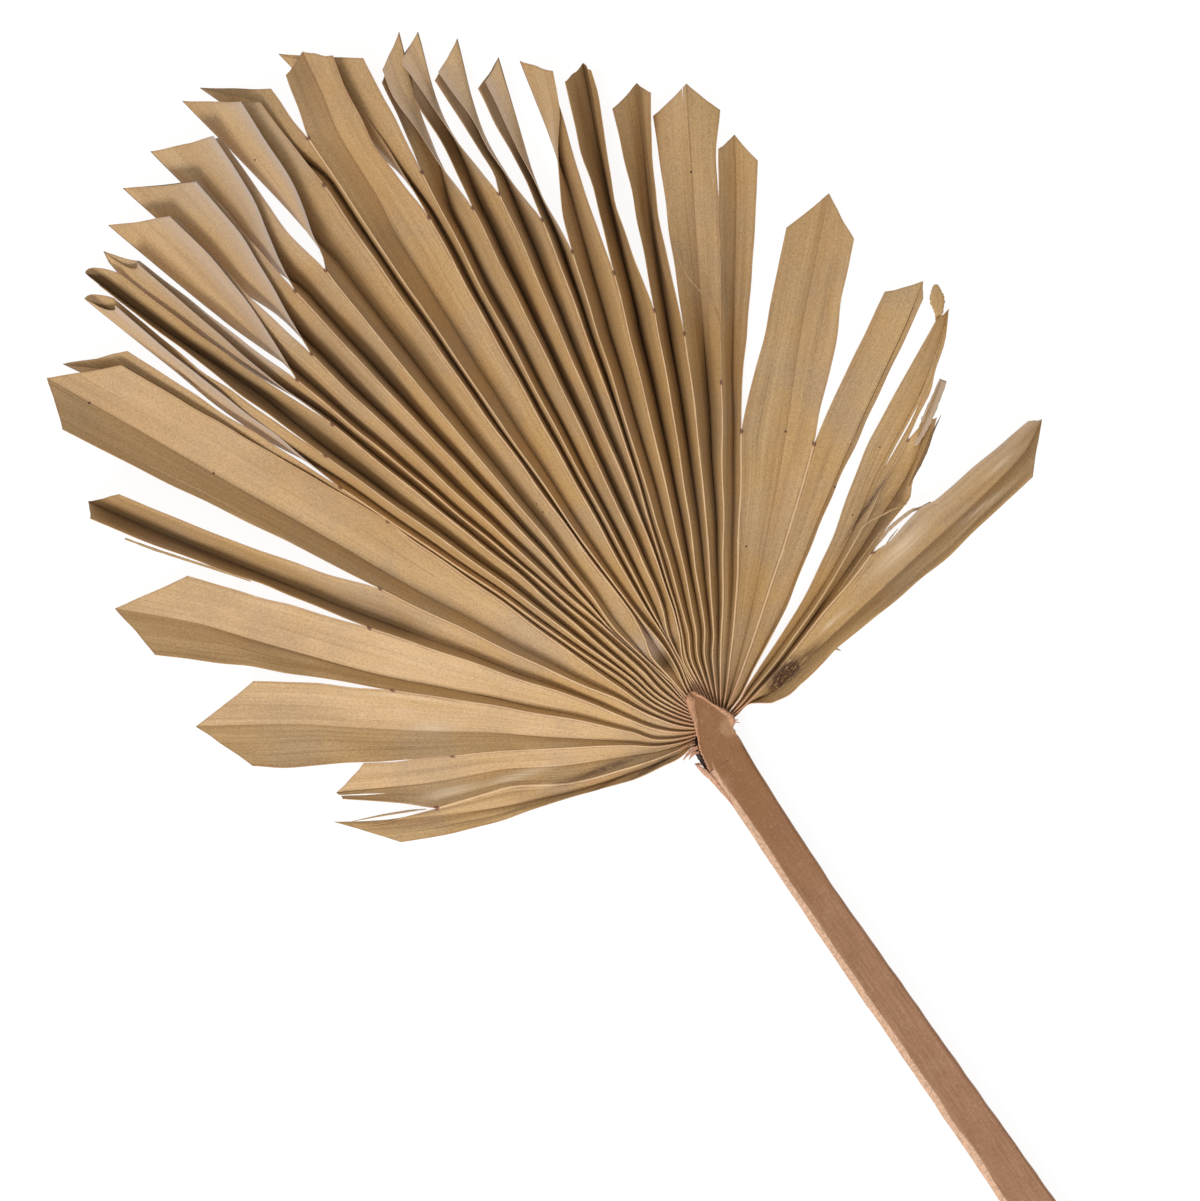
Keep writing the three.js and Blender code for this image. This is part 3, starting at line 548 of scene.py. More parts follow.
        past, tight = past[:, None], tight[:, None]
        from_ridge = t * width
        painted_shade, grey_and_sheen = self.paint_shade_and_sheen(segment, right, t, reach, past, tight, from_ridge)
        facts = dict(
            across=np.broadcast_to(t, reach.shape),
            reach=reach,
            from_ridge=from_ridge,
            from_rib=(1 - t) * width,
            joined=np.broadcast_to(joined[:, None], reach.shape),
            to_tip=(edge_reach[-1] + (rib_reach[-1] - edge_reach[-1]) * t) - reach,
            to_notch=np.hypot(reach - split, from_ridge) + NO_NOTCH * (i + right in self.edges),
            tone=np.full(reach.shape, np.random.default_rng(number).uniform()),
            painted_shade=painted_shade,
            grey_and_sheen=grey_and_sheen,
            stain=patches(points, STAINS),
            painted_highlight=patches(points, PAINTED_HIGHLIGHTS),
        )
        return points, facts

    def paint_shade_and_sheen(self, segment, right, t, reach, past, tight, from_ridge):
        """How much painted shade darkens the hollows of a panel, and how grey it is: a painted sheen along its
        free edges and a grey tint in a gaping fold.
        """
        # Painted shade: a wide panel is darkened only close to its midrib, and a narrow one nearly all over;
        # folds that point further right get more of it.
        share = (segment["lean"][0], 1 - segment["lean"][0])[right]
        steep = 1.3 + 7 * max(0, share - 0.5)
        gloom = np.interp(segment["rib"][-1][1], [-30, -5, 5, 14, 22], [0, 0.12, 0.4, 0.8, 1.1])
        in_fold = gloom * smoothstep((tight - 0.3) / 1.1) * t ** steep * np.exp(-past / 30)
        # Painted shade in the free end beyond the split, and between two given distances.
        spread = (t / 0.1, (t - 0.42) / 0.22)[right]
        in_free_end = segment.get("end_shade", (0, 0))[right] * smoothstep(past / 25) * smoothstep(spread)
        shade = segment.get("shade", (0, 0, 0, 1))
        in_shade = shade[right] * smoothstep((reach - shade[2]) / 20) * smoothstep((shade[3] - reach) / 20)
        in_shade = in_shade * smoothstep((from_ridge - 0.8) / 2.5) * (0.4 + 0.6 * t)
        # A gaping fold: painted shade at its inner end, a grey tint further out.
        start, end, strength = segment.get("pocket", (0, 1, 0))
        gape = strength * smoothstep((reach - start) / 4) * smoothstep((end - reach) / 8)
        gape = gape * smoothstep(t / 0.2)
        deep = smoothstep((start + 14 - reach) / 8)
        painted_shade = np.maximum.reduce([in_fold, in_free_end, in_shade, gape * deep])
        # Painted grey sheen along the free edges beyond the split.
        painted_sheen = segment.get("grey_and_sheen", (0, 0))[right] * smoothstep(past / 12) * np.exp(-from_ridge / 5)
        return painted_shade, np.maximum(0.75 * gape * (1 - deep), painted_sheen)

    def add(self, points, facts):
        first = len(self.points)
        self.points.extend(points)
        for name in FACTS:
            self.facts[name].extend(np.ravel(facts[name]).tolist())
        return np.arange(first, first + len(points))

    def marks(self, table, i, count):
        """This segment's rows in a table of slits or creases, with their column in its grid."""
        for number, side, column, first, last, size in table:
            if number == i + 1:
                yield column if side == "left" else count - 1 - column, first, last, size

    def add_segment(self, i, shared):
        segment = self.segments[i]
        left_top, rib_top, right_top = segment["tops"]
        left, left_reach, left_joined = self.edge(i, segment["left"], left_top, 1)
        right, right_reach, right_joined = self.edge(i + 1, segment["right"], right_top, 0)
        rib = self.rib(i, rib_top)
        apart = np.linalg.norm((right - left)[:, :2], axis=1)
        tight = ((left + right)[:, 2] / 2 - rib[0][:, 2]) / np.maximum(apart, 0.5)
        left_points, left_facts = self.panel(i, 0, (left, left_reach), rib, left_joined, tight)
        right_points, right_facts = self.panel(i, 1, (right, right_reach), rib, right_joined, tight)
        points = np.concatenate([left_points, right_points[:, -2::-1]], axis=1)
        facts = {n: np.concatenate([left_facts[n], right_facts[n][:, -2::-1]], axis=1) for n in FACTS}
        count = points.shape[1]
        for c, first, last, depth in self.marks(self.creases, i, count):
            reach = facts["reach"][:, c]
            strength = smoothstep((reach - first) / 12) * smoothstep((last - reach) / 12)
            points[:, c, 2] -= depth * strength
            # The bottom of a pressed-in crease is made darker, in the stain colour.
            facts["stain"][:, c] = np.maximum(facts["stain"][:, c], CREASE_DARKENING * strength * (depth > 0))
        grid = np.zeros((ROWS + 1, count), int)
        start_row = 0 if shared is None else self.ridges[i]["row"] + 1
        if shared is not None:
            grid[:start_row, 0] = shared[:start_row]
        rows = np.arange(start_row, ROWS + 1)
        grid[rows, 0] = self.add(points[rows, 0], {n: facts[n][rows, 0] for n in FACTS})
        body = self.add(points[:, 1:].reshape(-1, 3), {n: facts[n][:, 1:] for n in FACTS})
        grid[:, 1:] = body.reshape(ROWS + 1, count - 1)
        right_grid = grid.copy()
        for c, first, last, gap in self.marks(self.slits, i, count):
            self.open_slit(c, first, last, gap, points, facts, grid, right_grid)
        for row in range(ROWS):
            for c in range(count - 1):
                near, far = right_grid[row, c], right_grid[row + 1, c]
                self.faces.append((near, grid[row, c + 1], grid[row + 1, c + 1], far))
        return grid[:, -1]

    def open_slit(self, c, first, last, gap, points, facts, grid, right_grid):
        """Parts the sheet along column c: its points are doubled, and those beside it pushed away."""
        reach = facts["reach"][:, c]
        inside = np.flatnonzero((reach > first) & (reach < last))
        across = points[inside, c + 1] - points[inside, c - 1]
        across /= np.linalg.norm(across, axis=1)[:, None]
        opening = smoothstep((reach[inside] - first) / 15)
        if inside[-1] < ROWS:
            opening = opening * smoothstep((last - reach[inside]) / 12)
        for row, way in zip(inside, across * (gap / 2 * opening)[:, None]):
            line = points[row]
            for k in range(1, len(line) - 1):
                to_edge = min(np.linalg.norm(line[k] - line[e]) for e in (0, -1))
                push = math.exp(-np.linalg.norm(line[k] - line[c]) / 2.5) * min(1, to_edge / 2)
                self.points[grid[row, k]] = line[k] + way * (push if k > c else -push)
        other_side = [2 * points[row, c] - self.points[grid[row, c]] for row in inside]
        right_grid[inside, c] = self.add(other_side, {n: facts[n][inside, c] for n in FACTS})


def put(name, data):
    """A new object in the scene, with the given mesh, light or camera."""
    made = bpy.data.objects.new(name, data)
    bpy.context.collection.objects.link(made)
    return made


def make_object(name, points, faces, material, facts, sharp=(), flat=0):
    """A mesh object from points in millimetres in the leaf's frame. The last flat faces aren't smoothed."""
    mesh = bpy.data.meshes.new(name)
    places = np.array(points, float) * MM + ORIGIN
    mesh.from_pydata(places.tolist(), [], [tuple(map(int, f)) for f in faces])
    mesh.polygons.foreach_set("use_smooth", [True] * (len(faces) - flat) + [False] * flat)
    for key, values in facts.items():
        mesh.attributes.new(key, "FLOAT", "POINT").data.foreach_set("value", np.array(values, np.float32))
    if sharp:
        edges = np.empty(len(mesh.edges) * 2, np.int32)
        mesh.edges.foreach_get("vertices", edges)
        wanted = set(sharp)
        marks = [(min(a, b), max(a, b)) in wanted for a, b in edges.reshape(-1, 2)]
        mesh.attributes.new("sharp_edge", "BOOLEAN", "EDGE").data.foreach_set("value", marks)
    mesh.materials.append(material)
    mesh.update()
    return put(name, mesh)


def settle(piece, node):
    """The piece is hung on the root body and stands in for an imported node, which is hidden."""
    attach(piece, "root")
    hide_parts(node)


def thicken(name, sheet, thickness, material):
    """The sheet with two faces and a rim. Its free edges and tips are a little thinner than its middle."""
    points, faces = np.array(sheet.points), np.array(sheet.faces)
    corners = points[faces]
    normals = np.zeros_like(points)
    face_normals = np.cross(corners[:, 2] - corners[:, 0], corners[:, 3] - corners[:, 1])
    for k in range(4):
        np.add.at(normals, faces[:, k], face_normals)
    normals /= np.linalg.norm(normals, axis=1)[:, None]
    facts = {n: np.array(sheet.facts[n]) for n in FACTS}
    at_free_edge = np.exp(-facts["from_ridge"] / 0.8) * (1 - facts["joined"])
    thin = np.maximum(np.exp(-facts["to_tip"] / 1.5), at_free_edge)
    half = thickness / 2 * (1 - 0.4 * thin) * (0.6 + 0.4 * smoothstep(facts["reach"] / 60))
    offset = normals * half[:, None]
    count = len(points)
    edges = np.concatenate([faces[:, [k, (k + 1) % 4]] for k in range(4)])
    known = set(map(tuple, edges.tolist()))
    rim = [(a, b) for a, b in edges.tolist() if (b, a) not in known]
    all_faces = faces.tolist() + (faces[:, ::-1] + count).tolist()
    all_faces += [(b, a, a + count, b + count) for a, b in rim]
    sharp = [(min(a, b) + k, max(a, b) + k) for a, b in rim for k in (0, count)]
    all_points = np.concatenate([points + offset, points - offset])
    # The painted shade goes on the top face only.
    doubled = {n: np.concatenate([facts[n], facts[n] * (n != "painted_shade")]) for n in FACTS}
    return make_object(name, all_points, all_faces, material, doubled, sharp, len(rim))


class Graph:
    """A material's nodes, joined up by short calls."""

    def __init__(self, name):
        self.material = bpy.data.materials.new(name)
        self.material.use_nodes = True
        self.tree = self.material.node_tree
        self.shader = self.tree.nodes["Principled BSDF"]

    def feed(self, socket, value):
        if isinstance(value, bpy.types.NodeSocket):
            self.tree.links.new(value, socket)
        else:
            socket.default_value = value

    def node(self, kind, values, **settings):
        """A new node, with its settings, whose inputs are fed with values by their names or numbers."""
        made = self.tree.nodes.new("ShaderNode" + kind)
        for key, setting in settings.items():
            setattr(made, key, setting)
        for key, value in values.items():
            self.feed(made.inputs[key], value)
        return made

    def facts(self, *names):
        return [self.node("Attribute", {}, attribute_name=name).outputs["Fac"] for name in names]

    def place(self):
        return self.node("TexCoord", {}).outputs["Object"]

    def math(self, operation, a, b):
        return self.node("Math", {0: a, 1: b}, operation=operation).outputs[0]

    def times(self, a, b):
        return self.math("MULTIPLY", a, b)

    def span(self, value, low, high, start=0.0, end=1.0):
        """value's way from low to high, turned into start to end and held there, with soft shoulders."""
        inputs = dict(enumerate((value, low, high, start, end)))
        return self.node("MapRange", inputs, interpolation_type="SMOOTHSTEP").outputs[0]

    def vector(self, x, y, z=0.0):
        return self.node("CombineXYZ", {0: x, 1: y, 2: z}).outputs[0]

    def noise(self, vector, scale, detail=3.0, roughness=0.5):
        inputs = {"Vector": vector, "Scale": scale, "Detail": detail, "Roughness": roughness}
        return self.node("TexNoise", inputs).outputs["Fac"]

    def streaks(self, sideways, per_side, along, per_length, seed=0.0, detail=3.0, roughness=0.5):
        """Noise drawn out along the grain, with this many features per unit sideways and along it."""
        drawn_out = self.vector(self.times(sideways, per_side), self.times(along, per_length), seed)
        return self.noise(drawn_out, 1.0, detail, roughness)

    def near(self, x, y, radius):
        """1 within about radius of the upright line at x, y, 0 outside, with a ragged edge."""
        middle = (ORIGIN[0] + x * MM, ORIGIN[1] + y * MM, 0.0)
        flat = self.node("VectorMath", {0: self.place(), 1: (1, 1, 0)}, operation="MULTIPLY").outputs[0]
        gap = self.node("VectorMath", {0: flat, 1: middle}, operation="DISTANCE").outputs["Value"]
        ragged = self.math("ADD", self.noise(self.place(), 1600.0, 2.0), 0.5)
        return self.span(self.times(gap, ragged), radius * MM * 1.3, radius * MM * 0.6)

    def ramp(self, value, stops):
        made = self.node("ValToRGB", {0: value})
        elements = made.color_ramp.elements
        while len(elements) < len(stops):
            elements.new(0.5)
        for element, (position, colour) in zip(elements, stops):
            element.position = position
            element.color = rgb(*colour)
        return made.outputs[0]

    def mix(self, share, a, b):
        return self.node("Mix", {0: share, 6: a, 7: b}, data_type="RGBA").outputs[2]

    def coats(self, base, layers):
        """base under layers of colour, each laid on with its share."""
        for share, colour in layers:
            base = self.mix(share, base, rgb(*colour))
        return base

    def finish(self, base, roughness, specular, relief, strength, depth):
        """Feeds the shader. relief is the bump's height, and depth its size in metres."""
        bump = self.node("Bump", {"Strength": strength, "Distance": depth, "Height": relief}).outputs[0]
        looks = {"Base Color": base, "Roughness": roughness, "Specular IOR Level": specular, "Normal": bump}
        for name, value in looks.items():
            self.feed(self.shader.inputs[name], value)
        return self.material


def rgb(red, green, blue):
    """A colour given as seen, 0 to 255, as the shader's linear values."""
    def linear(c):
        c = c / 255
        return c / 12.92 if c <= 0.04045 else ((c + 0.055) / 1.055) ** 2.4
    return (linear(red), linear(green), linear(blue), 1)


def leaf_material():
    """Dried tissue: fine veins, red ridge lines, dark midribs, golden and rotten areas, and painted shade in
    the folds, painted grey sheen and painted highlights.
    """
    g = Graph("dried_leaf")
    across, reach, tone, joined, painted_shade = g.facts("across", "reach", "tone", "joined", "painted_shade")
    from_ridge, from_rib, to_tip, to_notch = g.facts("from_ridge", "from_rib", "to_tip", "to_notch")
    grey_and_sheen, stain, painted_highlight = g.facts("grey_and_sheen", "stain", "painted_highlight")
    seed = g.times(tone, 31.0)
    fine = g.streaks(across, 15.0, reach, 0.012, seed, 3.0, 0.55)
    broad = g.streaks(across, 2.6, reach, 0.009, seed, 2.0)
    fibres = g.streaks(across, 14.0, reach, 0.4, seed, 5.0, 0.7)
    patch = g.noise(g.place(), 26.0, 4.0, 0.6)
    grain = g.noise(g.place(), 1300.0, 2.0, 0.7)
    golden = g.times(g.span(patch, 0.42, 0.6), g.span(reach, 260, 90, 0.15, 0.6))
    dashes = g.span(g.noise(g.vector(reach, seed), 0.11), 0.32, 0.55)
    crest = g.times(g.span(from_ridge, 1.0, 0.55), g.span(joined, 0.0, 1.0, 0.5, 1.0))
    red_line = g.times(crest, dashes)
    # Pale line along each ridge's crest: partly the ridge's own paler tissue, partly a painted highlight.
    pale_crest_and_highlight = g.times(g.span(from_ridge, 0.5, 0.2), g.span(joined, 0.0, 1.0, 0.25, 0.75))
    # Painted shade along the midribs deep in the joined folds.
    keel_shade = g.times(g.span(from_rib, 1.3, 0.25), g.times(joined, painted_shade))
    reddened = g.times(g.span(reach, 26, 13, 0, 0.5), g.span(from_ridge, 1.2, 0.4))
    base = g.ramp(broad, [(0.3, (172, 136, 92)), (0.5, (185, 149, 103)), (0.72, (195, 160, 114))])
    base = g.coats(base, [
        (golden, (190, 150, 92)),
        (g.span(patch, 0.52, 0.36, 0, 0.5), (171, 144, 110)),
        (g.span(tone, 0.75, 1.0, 0, 0.25), (170, 138, 96)),
        (g.span(fine, 0.52, 0.7, 0, 0.32), (146, 110, 70)),
        (g.span(fine, 0.45, 0.28, 0, 0.3), (214, 184, 141)),
        (g.span(grain, 0.5, 0.68, 0, 0.42), (140, 106, 70)),
        (g.span(grain, 0.45, 0.3, 0, 0.34), (214, 184, 140)),
        (g.times(red_line, 0.75), (140, 92, 58)),
        (pale_crest_and_highlight, (226, 192, 146)),
        (g.span(from_rib, 0.6, 0.15, 0, 0.45), (122, 88, 54)),
        # Painted shade along the midribs and in the folds.
        (g.times(keel_shade, 0.6), (58, 36, 18)),
        (g.times(painted_shade, 0.8), (84, 56, 30)),
        (g.span(to_tip, 1.4, 0.2, 0, 0.35), (150, 116, 80)),
        (g.span(to_notch, 1.5, 0.7, 0, 0.85), (98, 52, 34)),
        # Grey: a painted sheen on the panels, and the pale shreds' own grey.
        (g.times(grey_and_sheen, g.span(fine, 0.35, 0.6, 0.55, 1.0)), (184, 168, 156)),
        # Painted highlights.
        (g.times(painted_highlight, g.span(fine, 0.35, 0.6, 0.4, 1.0)), (232, 210, 178)),
        (g.times(stain, g.span(fibres, 0.34, 0.5)), (72, 44, 26)),
        (reddened, (190, 134, 106)),
        *[(g.near(*speck), (84, 50, 34)) for speck in SPECKS],
    ])
    return g.finish(base, g.span(patch, 0.35, 0.65, 0.6, 0.46), 0.42, fine, 0.4, 0.0004)


def fibre_and_shade_material():
    """Near-black fibre: the rotten fibre mat under torn bark, and painted shade in the gaps round the hastula.
    """
    g = Graph("fibre_and_shade_mat")
    sideways, along = g.facts("sideways", "along")
    strands = g.streaks(sideways, 5.0, along, 0.5)
    base = g.ramp(strands, [(0.35, (34, 24, 22)), (0.7, (84, 62, 52))])
    return g.finish(base, 0.85, 0.5, strands, 0.6, 0.0005)


def stalk_material(name, rim):
    """The stalk's smooth brown face, with rim as the colour of its pale edges."""
    g = Graph(name)
    sideways, along, rim_share = g.facts("sideways", "along", "rim_share")
    grain = g.streaks(sideways, 1.3, along, 0.05, 0.0, 5.0, 0.65)
    patch = g.noise(g.place(), 60.0, 4.0, 0.6)
    speck = g.noise(g.place(), 900.0, 3.0, 0.7)
    base = g.ramp(grain, [(0.3, (134, 92, 62)), (0.5, (149, 107, 76)), (0.72, (162, 120, 88))])
    base = g.coats(base, [
        (g.span(along, -110, -14, 0, 0.88), (136, 91, 50)),
        (g.span(patch, 0.5, 0.7, 0, 0.35), (128, 86, 58)),
        (g.span(patch, 0.45, 0.3, 0, 0.3), (168, 128, 98)),
        (g.times(g.near(*PALE_PATCH), 0.4), (186, 150, 108)),
        (g.span(speck, 0.5, 0.7, 0, 0.4), (116, 76, 50)),
        (g.span(speck, 0.44, 0.3, 0, 0.25), (190, 150, 118)),
    ])
    rim_look = g.mix(g.span(speck, 0.4, 0.65), rgb(*rim), rgb(*[c * 0.82 for c in rim]))
    base = g.mix(g.span(rim_share, 0.15, 0.75), base, rim_look)
    return g.finish(base, g.span(grain, 0.3, 0.7, 0.6, 0.5), 0.4, grain, 0.35, 0.0004)


def loft(name, rings, facts, material):
    """A solid through rings of equal length, closed at both ends, with a set of facts for each ring."""
    count = len(rings[0])
    faces = []
    for s in range(len(rings) - 1):
        for k in range(count):
            a, b = s * count + k, s * count + (k + 1) % count
            faces.append((a, b, b + count, a + count))
    last = (len(rings) - 1) * count
    faces.append(tuple(range(count - 1, -1, -1)))
    faces.append(tuple(range(last, last + count)))
    joined = {n: np.concatenate([each[n] for each in facts]) for n in facts[0]}
    return make_object(name, np.concatenate(rings), faces, material, joined)


# The stalk's stations: y, left edge, right edge.
STALK = [
    (-289.8, -6.5, 11.6), (-215, -8.6, 9), (-160, -9.7, 6.6), (-110, -11.1, 4.6), (-70, -11.9, 3.1),
    (-35, -12.4, 3), (-14, -12.8, 3.6), (-4, -11.2, 4.4), (0, -10.5, 5), (2.4, -9.4, 5),
    (5, -8, 3.8), (9, -6.3, 2.2), (13, -5.1, 0.3), (15.2, -4.4, -1),
]
# Its section from the foot round the left side, over the top and down the right: x as a share of half width
# and z.
STALK_SECTION = [
    (-0.22, 0), (-0.45, 0.25), (-0.66, 1.1), (-0.82, 2.3), (-0.92, 3.7), (-0.975, 5.1), (-1, 6.6),
    (-0.985, 7.6), (-0.94, 8.4), (-0.87, 9.05), (-0.79, 9.55), (-0.71, 9.85), (-0.62, 9.97), (-0.45, 9.95),
    (-0.25, 9.88),
    (0, 9.83), (0.25, 9.85), (0.5, 9.9), (0.7, 9.95), (0.82, 10), (0.9, 9.92), (0.955, 9.6), (0.985, 8.9),
    (1, 7.8), (0.99, 6.4), (0.96, 5), (0.91, 3.7), (0.82, 2.3), (0.66, 1.1), (0.45, 0.25), (0.22, 0),
]


def make_stalk(material):
    """Half-round below and flat on top, with a pale bevel along its left edge and a sharper right edge."""
    left = curve_through([(y, a) for y, a, _ in STALK])
    right = curve_through([(y, b) for y, _, b in STALK])
    cut_end = STALK[0][0]
    stations = np.concatenate([[cut_end], np.arange(-289.2, 14, 1.6), [STALK_TIP]])
    share, level = np.array(STALK_SECTION).T
    top = smoothstep((level - 6) / 3)
    edge = np.sign(share) * np.abs(share) ** 4
    rings, facts = [], []
    for y in stations:
        a, b = float(left(y)), float(right(y))
        # The tip is slimmer than the hastula over it, so that the folds can reach in under that.
        slim = 1.9 * float(smoothstep((y + 9) / 8))
        x = share * max((b - a) / 2 - slim, 0.8)
        same_y = np.full(len(x), y)
        grain = 0.05 * ripple(11, x / 1.7, same_y / 45) + 0.09 * ripple(12, x / 5, same_y / 30)
        px = (a + b) / 2 + x + edge * (0.12 * ripple(13, same_y / 13, np.sign(x)) + (1 - top) * grain)
        pz = np.clip(level + top * (grain - 0.08), 0, STALK_THICKNESS)
        cut = 0.3 + 0.3 * ripple(14, x / 3, level / 4) if y <= cut_end else np.zeros(len(x))
        rings.append(np.stack([px, y + cut, pz], axis=1))
        inward = x - x.min() + 0.35 * ripple(15, same_y / 25)
        # A pale strip along the left bevel and a fainter one along the right edge, in the rim colour.
        pale_left = smoothstep((2.9 - inward) / 0.9) * smoothstep((level - 2) / 3)
        pale_right = 0.4 * smoothstep((0.9 - (x.max() - x)) / 0.6) * smoothstep((level - 6) / 2)
        rim_share = np.where(share < 0, pale_left, pale_right) * (0.75 + 0.25 * (y < -25))
        facts.append(dict(sideways=x + 3 * (level < 6) * level, along=same_y, rim_share=rim_share))
    return loft("stalk", rings, facts, material)


# The hastula's stations: y, left edge, inner side of its left rim, inner side of its right rim, right edge,
# and how far it stands up from the stalk's face.
HASTULA = [
    (-13, -12.9, -12.5, 3.0, 3.2, -0.5), (-10.8, -12.6, -12.1, 3.1, 3.3, -0.2),
    (-8.2, -12.1, -11.5, 3.2, 3.5, 0.15), (-4.8, -11.6, -10.9, 3.5, 3.9, 0.5),
    (-3.2, -11.3, -10.5, 3.7, 4.2, 0.7), (-2.6, -11.1, -10.3, 3.8, 5.6, 0.85),
    (-1.6, -10.6, -9.8, 4.0, 6.1, 1.0), (0.2, -9.8, -8.9, 4.2, 6.4, 1.2),
    (2.2, -9.2, -8, 3.9, 5.8, 1.35), (4.5, -8.3, -6.7, 3.0, 4.8, 1.5),
    (7, -7.5, -5.3, 2.2, 3.2, 1.65), (10, -6.9, -4.2, 0.9, 1.9, 1.8),
    (12.2, -6.4, -2.9, 0, 1.2, 1.95), (13.4, -6.1, -2, -1, 0.6, 2.05),
    (15, -5.4, -2.6, -1.9, -0.2, 2.1), (16.1, -4.2, -2.8, -2.2, -1.2, 2),
    (16.6, -3, -2.5, -2.4, -2.1, 1.5),
]
HASTULA_SEAT = 9.95  # the stalk's face, from which its height counts
HASTULA_BOTTOM = 9.4  # the tongue is sunk this deep into the stalk
# Its section in three parts, left rim, face and right rim: the share of the way between two of the edges
# above, and the height as a share of the rise. A height of -1 is the bottom.
LEFT_RIM = [(0.1, -1), (-0.04, 0.25), (0.02, 0.7), (0.16, 0.94), (0.4, 1.0), (0.72, 0.93), (0.92, 0.76)]
FACE = [(share, 0.62) for share in (0.04, 0.12, 0.25, 0.4, 0.55, 0.7, 0.82, 0.92, 0.97)]
RIGHT_RIM = [(0.1, 0.78), (0.32, 0.93), (0.6, 1.0), (0.85, 0.9), (1.0, 0.6), (1.03, 0.2), (0.9, -1)]
# How pale the rim is at each of those points.
RIM_LOOK = [1] * 6 + [0.6, 0.08] + [0] * 7 + [0.08, 0.6] + [1] * 6


def make_hastula(material):
    """A low tongue with a blunt raised rim round its pointed end, running out into the stalk's face."""
    stations = np.concatenate([np.arange(-13, 12, 0.5), np.arange(12, 16.6, 0.2), [16.6]])
    curves = [curve_through([(row[0], row[k]) for row in HASTULA]) for k in range(1, 6)]
    section = [(part, *point) for part, points in enumerate((LEFT_RIM, FACE, RIGHT_RIM)) for point in points]
    part, share, lift = np.array(section).T
    part = part.astype(int)
    rim = np.array(RIM_LOOK)
    right_side = part == 2
    rings, facts = [], []
    for y in stations:
        *edges, rise = (float(curve(y)) for curve in curves)
        edges = np.array(edges)
        x = edges[part] + (edges[part + 1] - edges[part]) * share
        same_y = np.full(len(x), y)
        torn = 0.22 * ripple(21, same_y / 1.6, x / 9) * (rim > 0.5) * (lift < 0.95)
        x = x + torn * np.sign(x - (edges[0] + edges[3]) / 2)
        bumpy = 0.1 * ripple(22, x / 2.5, same_y / 5) * (lift > 0)
        z = np.where(lift < 0, HASTULA_BOTTOM, HASTULA_SEAT + lift * rise + bumpy * min(1, max(0, rise)))
        rings.append(np.stack([x, same_y, z], axis=1))
        left_fade, right_fade = 0.75 + 0.25 * smoothstep((y + 4) / 6), smoothstep((y + 5) / 3)
        rim_share = rim * np.where(right_side, right_fade, left_fade) * (0.9 + 0.1 * ripple(23, same_y / 2))
        facts.append(dict(sideways=x, along=same_y, rim_share=rim_share))
    return loft("hastula_tongue", rings, facts, material)


def ribbon(name, path, widths, thickness, material, tilt=0.0, **looks):
    """A thin strip or thread along x, y, z points, closed at both ends. looks sets its facts."""
    knots = np.array(path, float)
    t = np.linspace(0, len(knots) - 1, (len(knots) - 1) * RIBBON_STEPS + 1)
    line = np.stack([np.interp(t, np.arange(len(knots)), knots[:, i]) for i in range(3)], axis=1)
    for _ in range(4):
        line[1:-1] = (line[:-2] + 2 * line[1:-1] + line[2:]) / 4
    width = np.interp(t, np.linspace(0, len(knots) - 1, len(widths)), widths)
    width = width * (1 + 0.12 * ripple(len(name), t * 2.2))
    tangent = np.gradient(line, axis=0)
    tangent /= np.linalg.norm(tangent, axis=1)[:, None]
    side = np.cross(tangent, [0, 0, 1])
    side /= np.linalg.norm(side, axis=1)[:, None]
    up = np.cross(side, tangent)
    c, s = math.cos(math.radians(tilt)), math.sin(math.radians(tilt))
    side, up = side * c + up * s, up * c - side * s
    turns = np.linspace(0, 2 * math.pi, RIBBON_SIDES + 1)[:-1]
    plain = {n: np.full(RIBBON_SIDES, float(v)) for n, v in {**RIBBON_FACTS, **looks}.items()}
    plain["across"] = 0.5 + 0.3 * np.cos(turns)
    rings, facts = [], []
    for i, p in enumerate(line):
        half = max(width[i], RIBBON_LEAST_WIDTH) / 2
        deep = min(thickness / 2, half)
        rings.append(p + np.outer(np.cos(turns) * half, side[i]) - np.outer(np.sin(turns) * deep, up[i]))
        facts.append(dict(plain, sideways=half * np.cos(turns), along=np.full(RIBBON_SIDES, t[i] * 6)))
    return loft(name, rings, facts, material)


LEAF = leaf_material()
STALK_LOOK = stalk_material("stalk", (203, 162, 131))
HASTULA_LOOK = stalk_material("hastula", (194, 142, 106))
FIBRE_LOOK = stalk_material("torn_bark", (204, 154, 124))
FIBRE_AND_SHADE_LOOK = fibre_and_shade_material()

# Each sheet's share of the base line is from the first of these numbers to the second.
blade_folds = Sheet(BLADE_RIDGES, BLADE_SEGMENTS, (0, 0.92), BLADE_SLITS, BLADE_CREASES, 1)
settle(thicken("blade_sheet", blade_folds, SHEET_THICKNESS, LEAF), "blade")
outer_folds = Sheet(OUTER_RIDGES, OUTER_SEGMENTS, (0.93, 1), OUTER_SLITS, OUTER_CREASES, 900)
settle(thicken("outer_sheet", outer_folds, SHEET_THICKNESS, LEAF), "outer_segments")
settle(make_stalk(STALK_LOOK), "petiole")
settle(make_hastula(HASTULA_LOOK), "hastula")

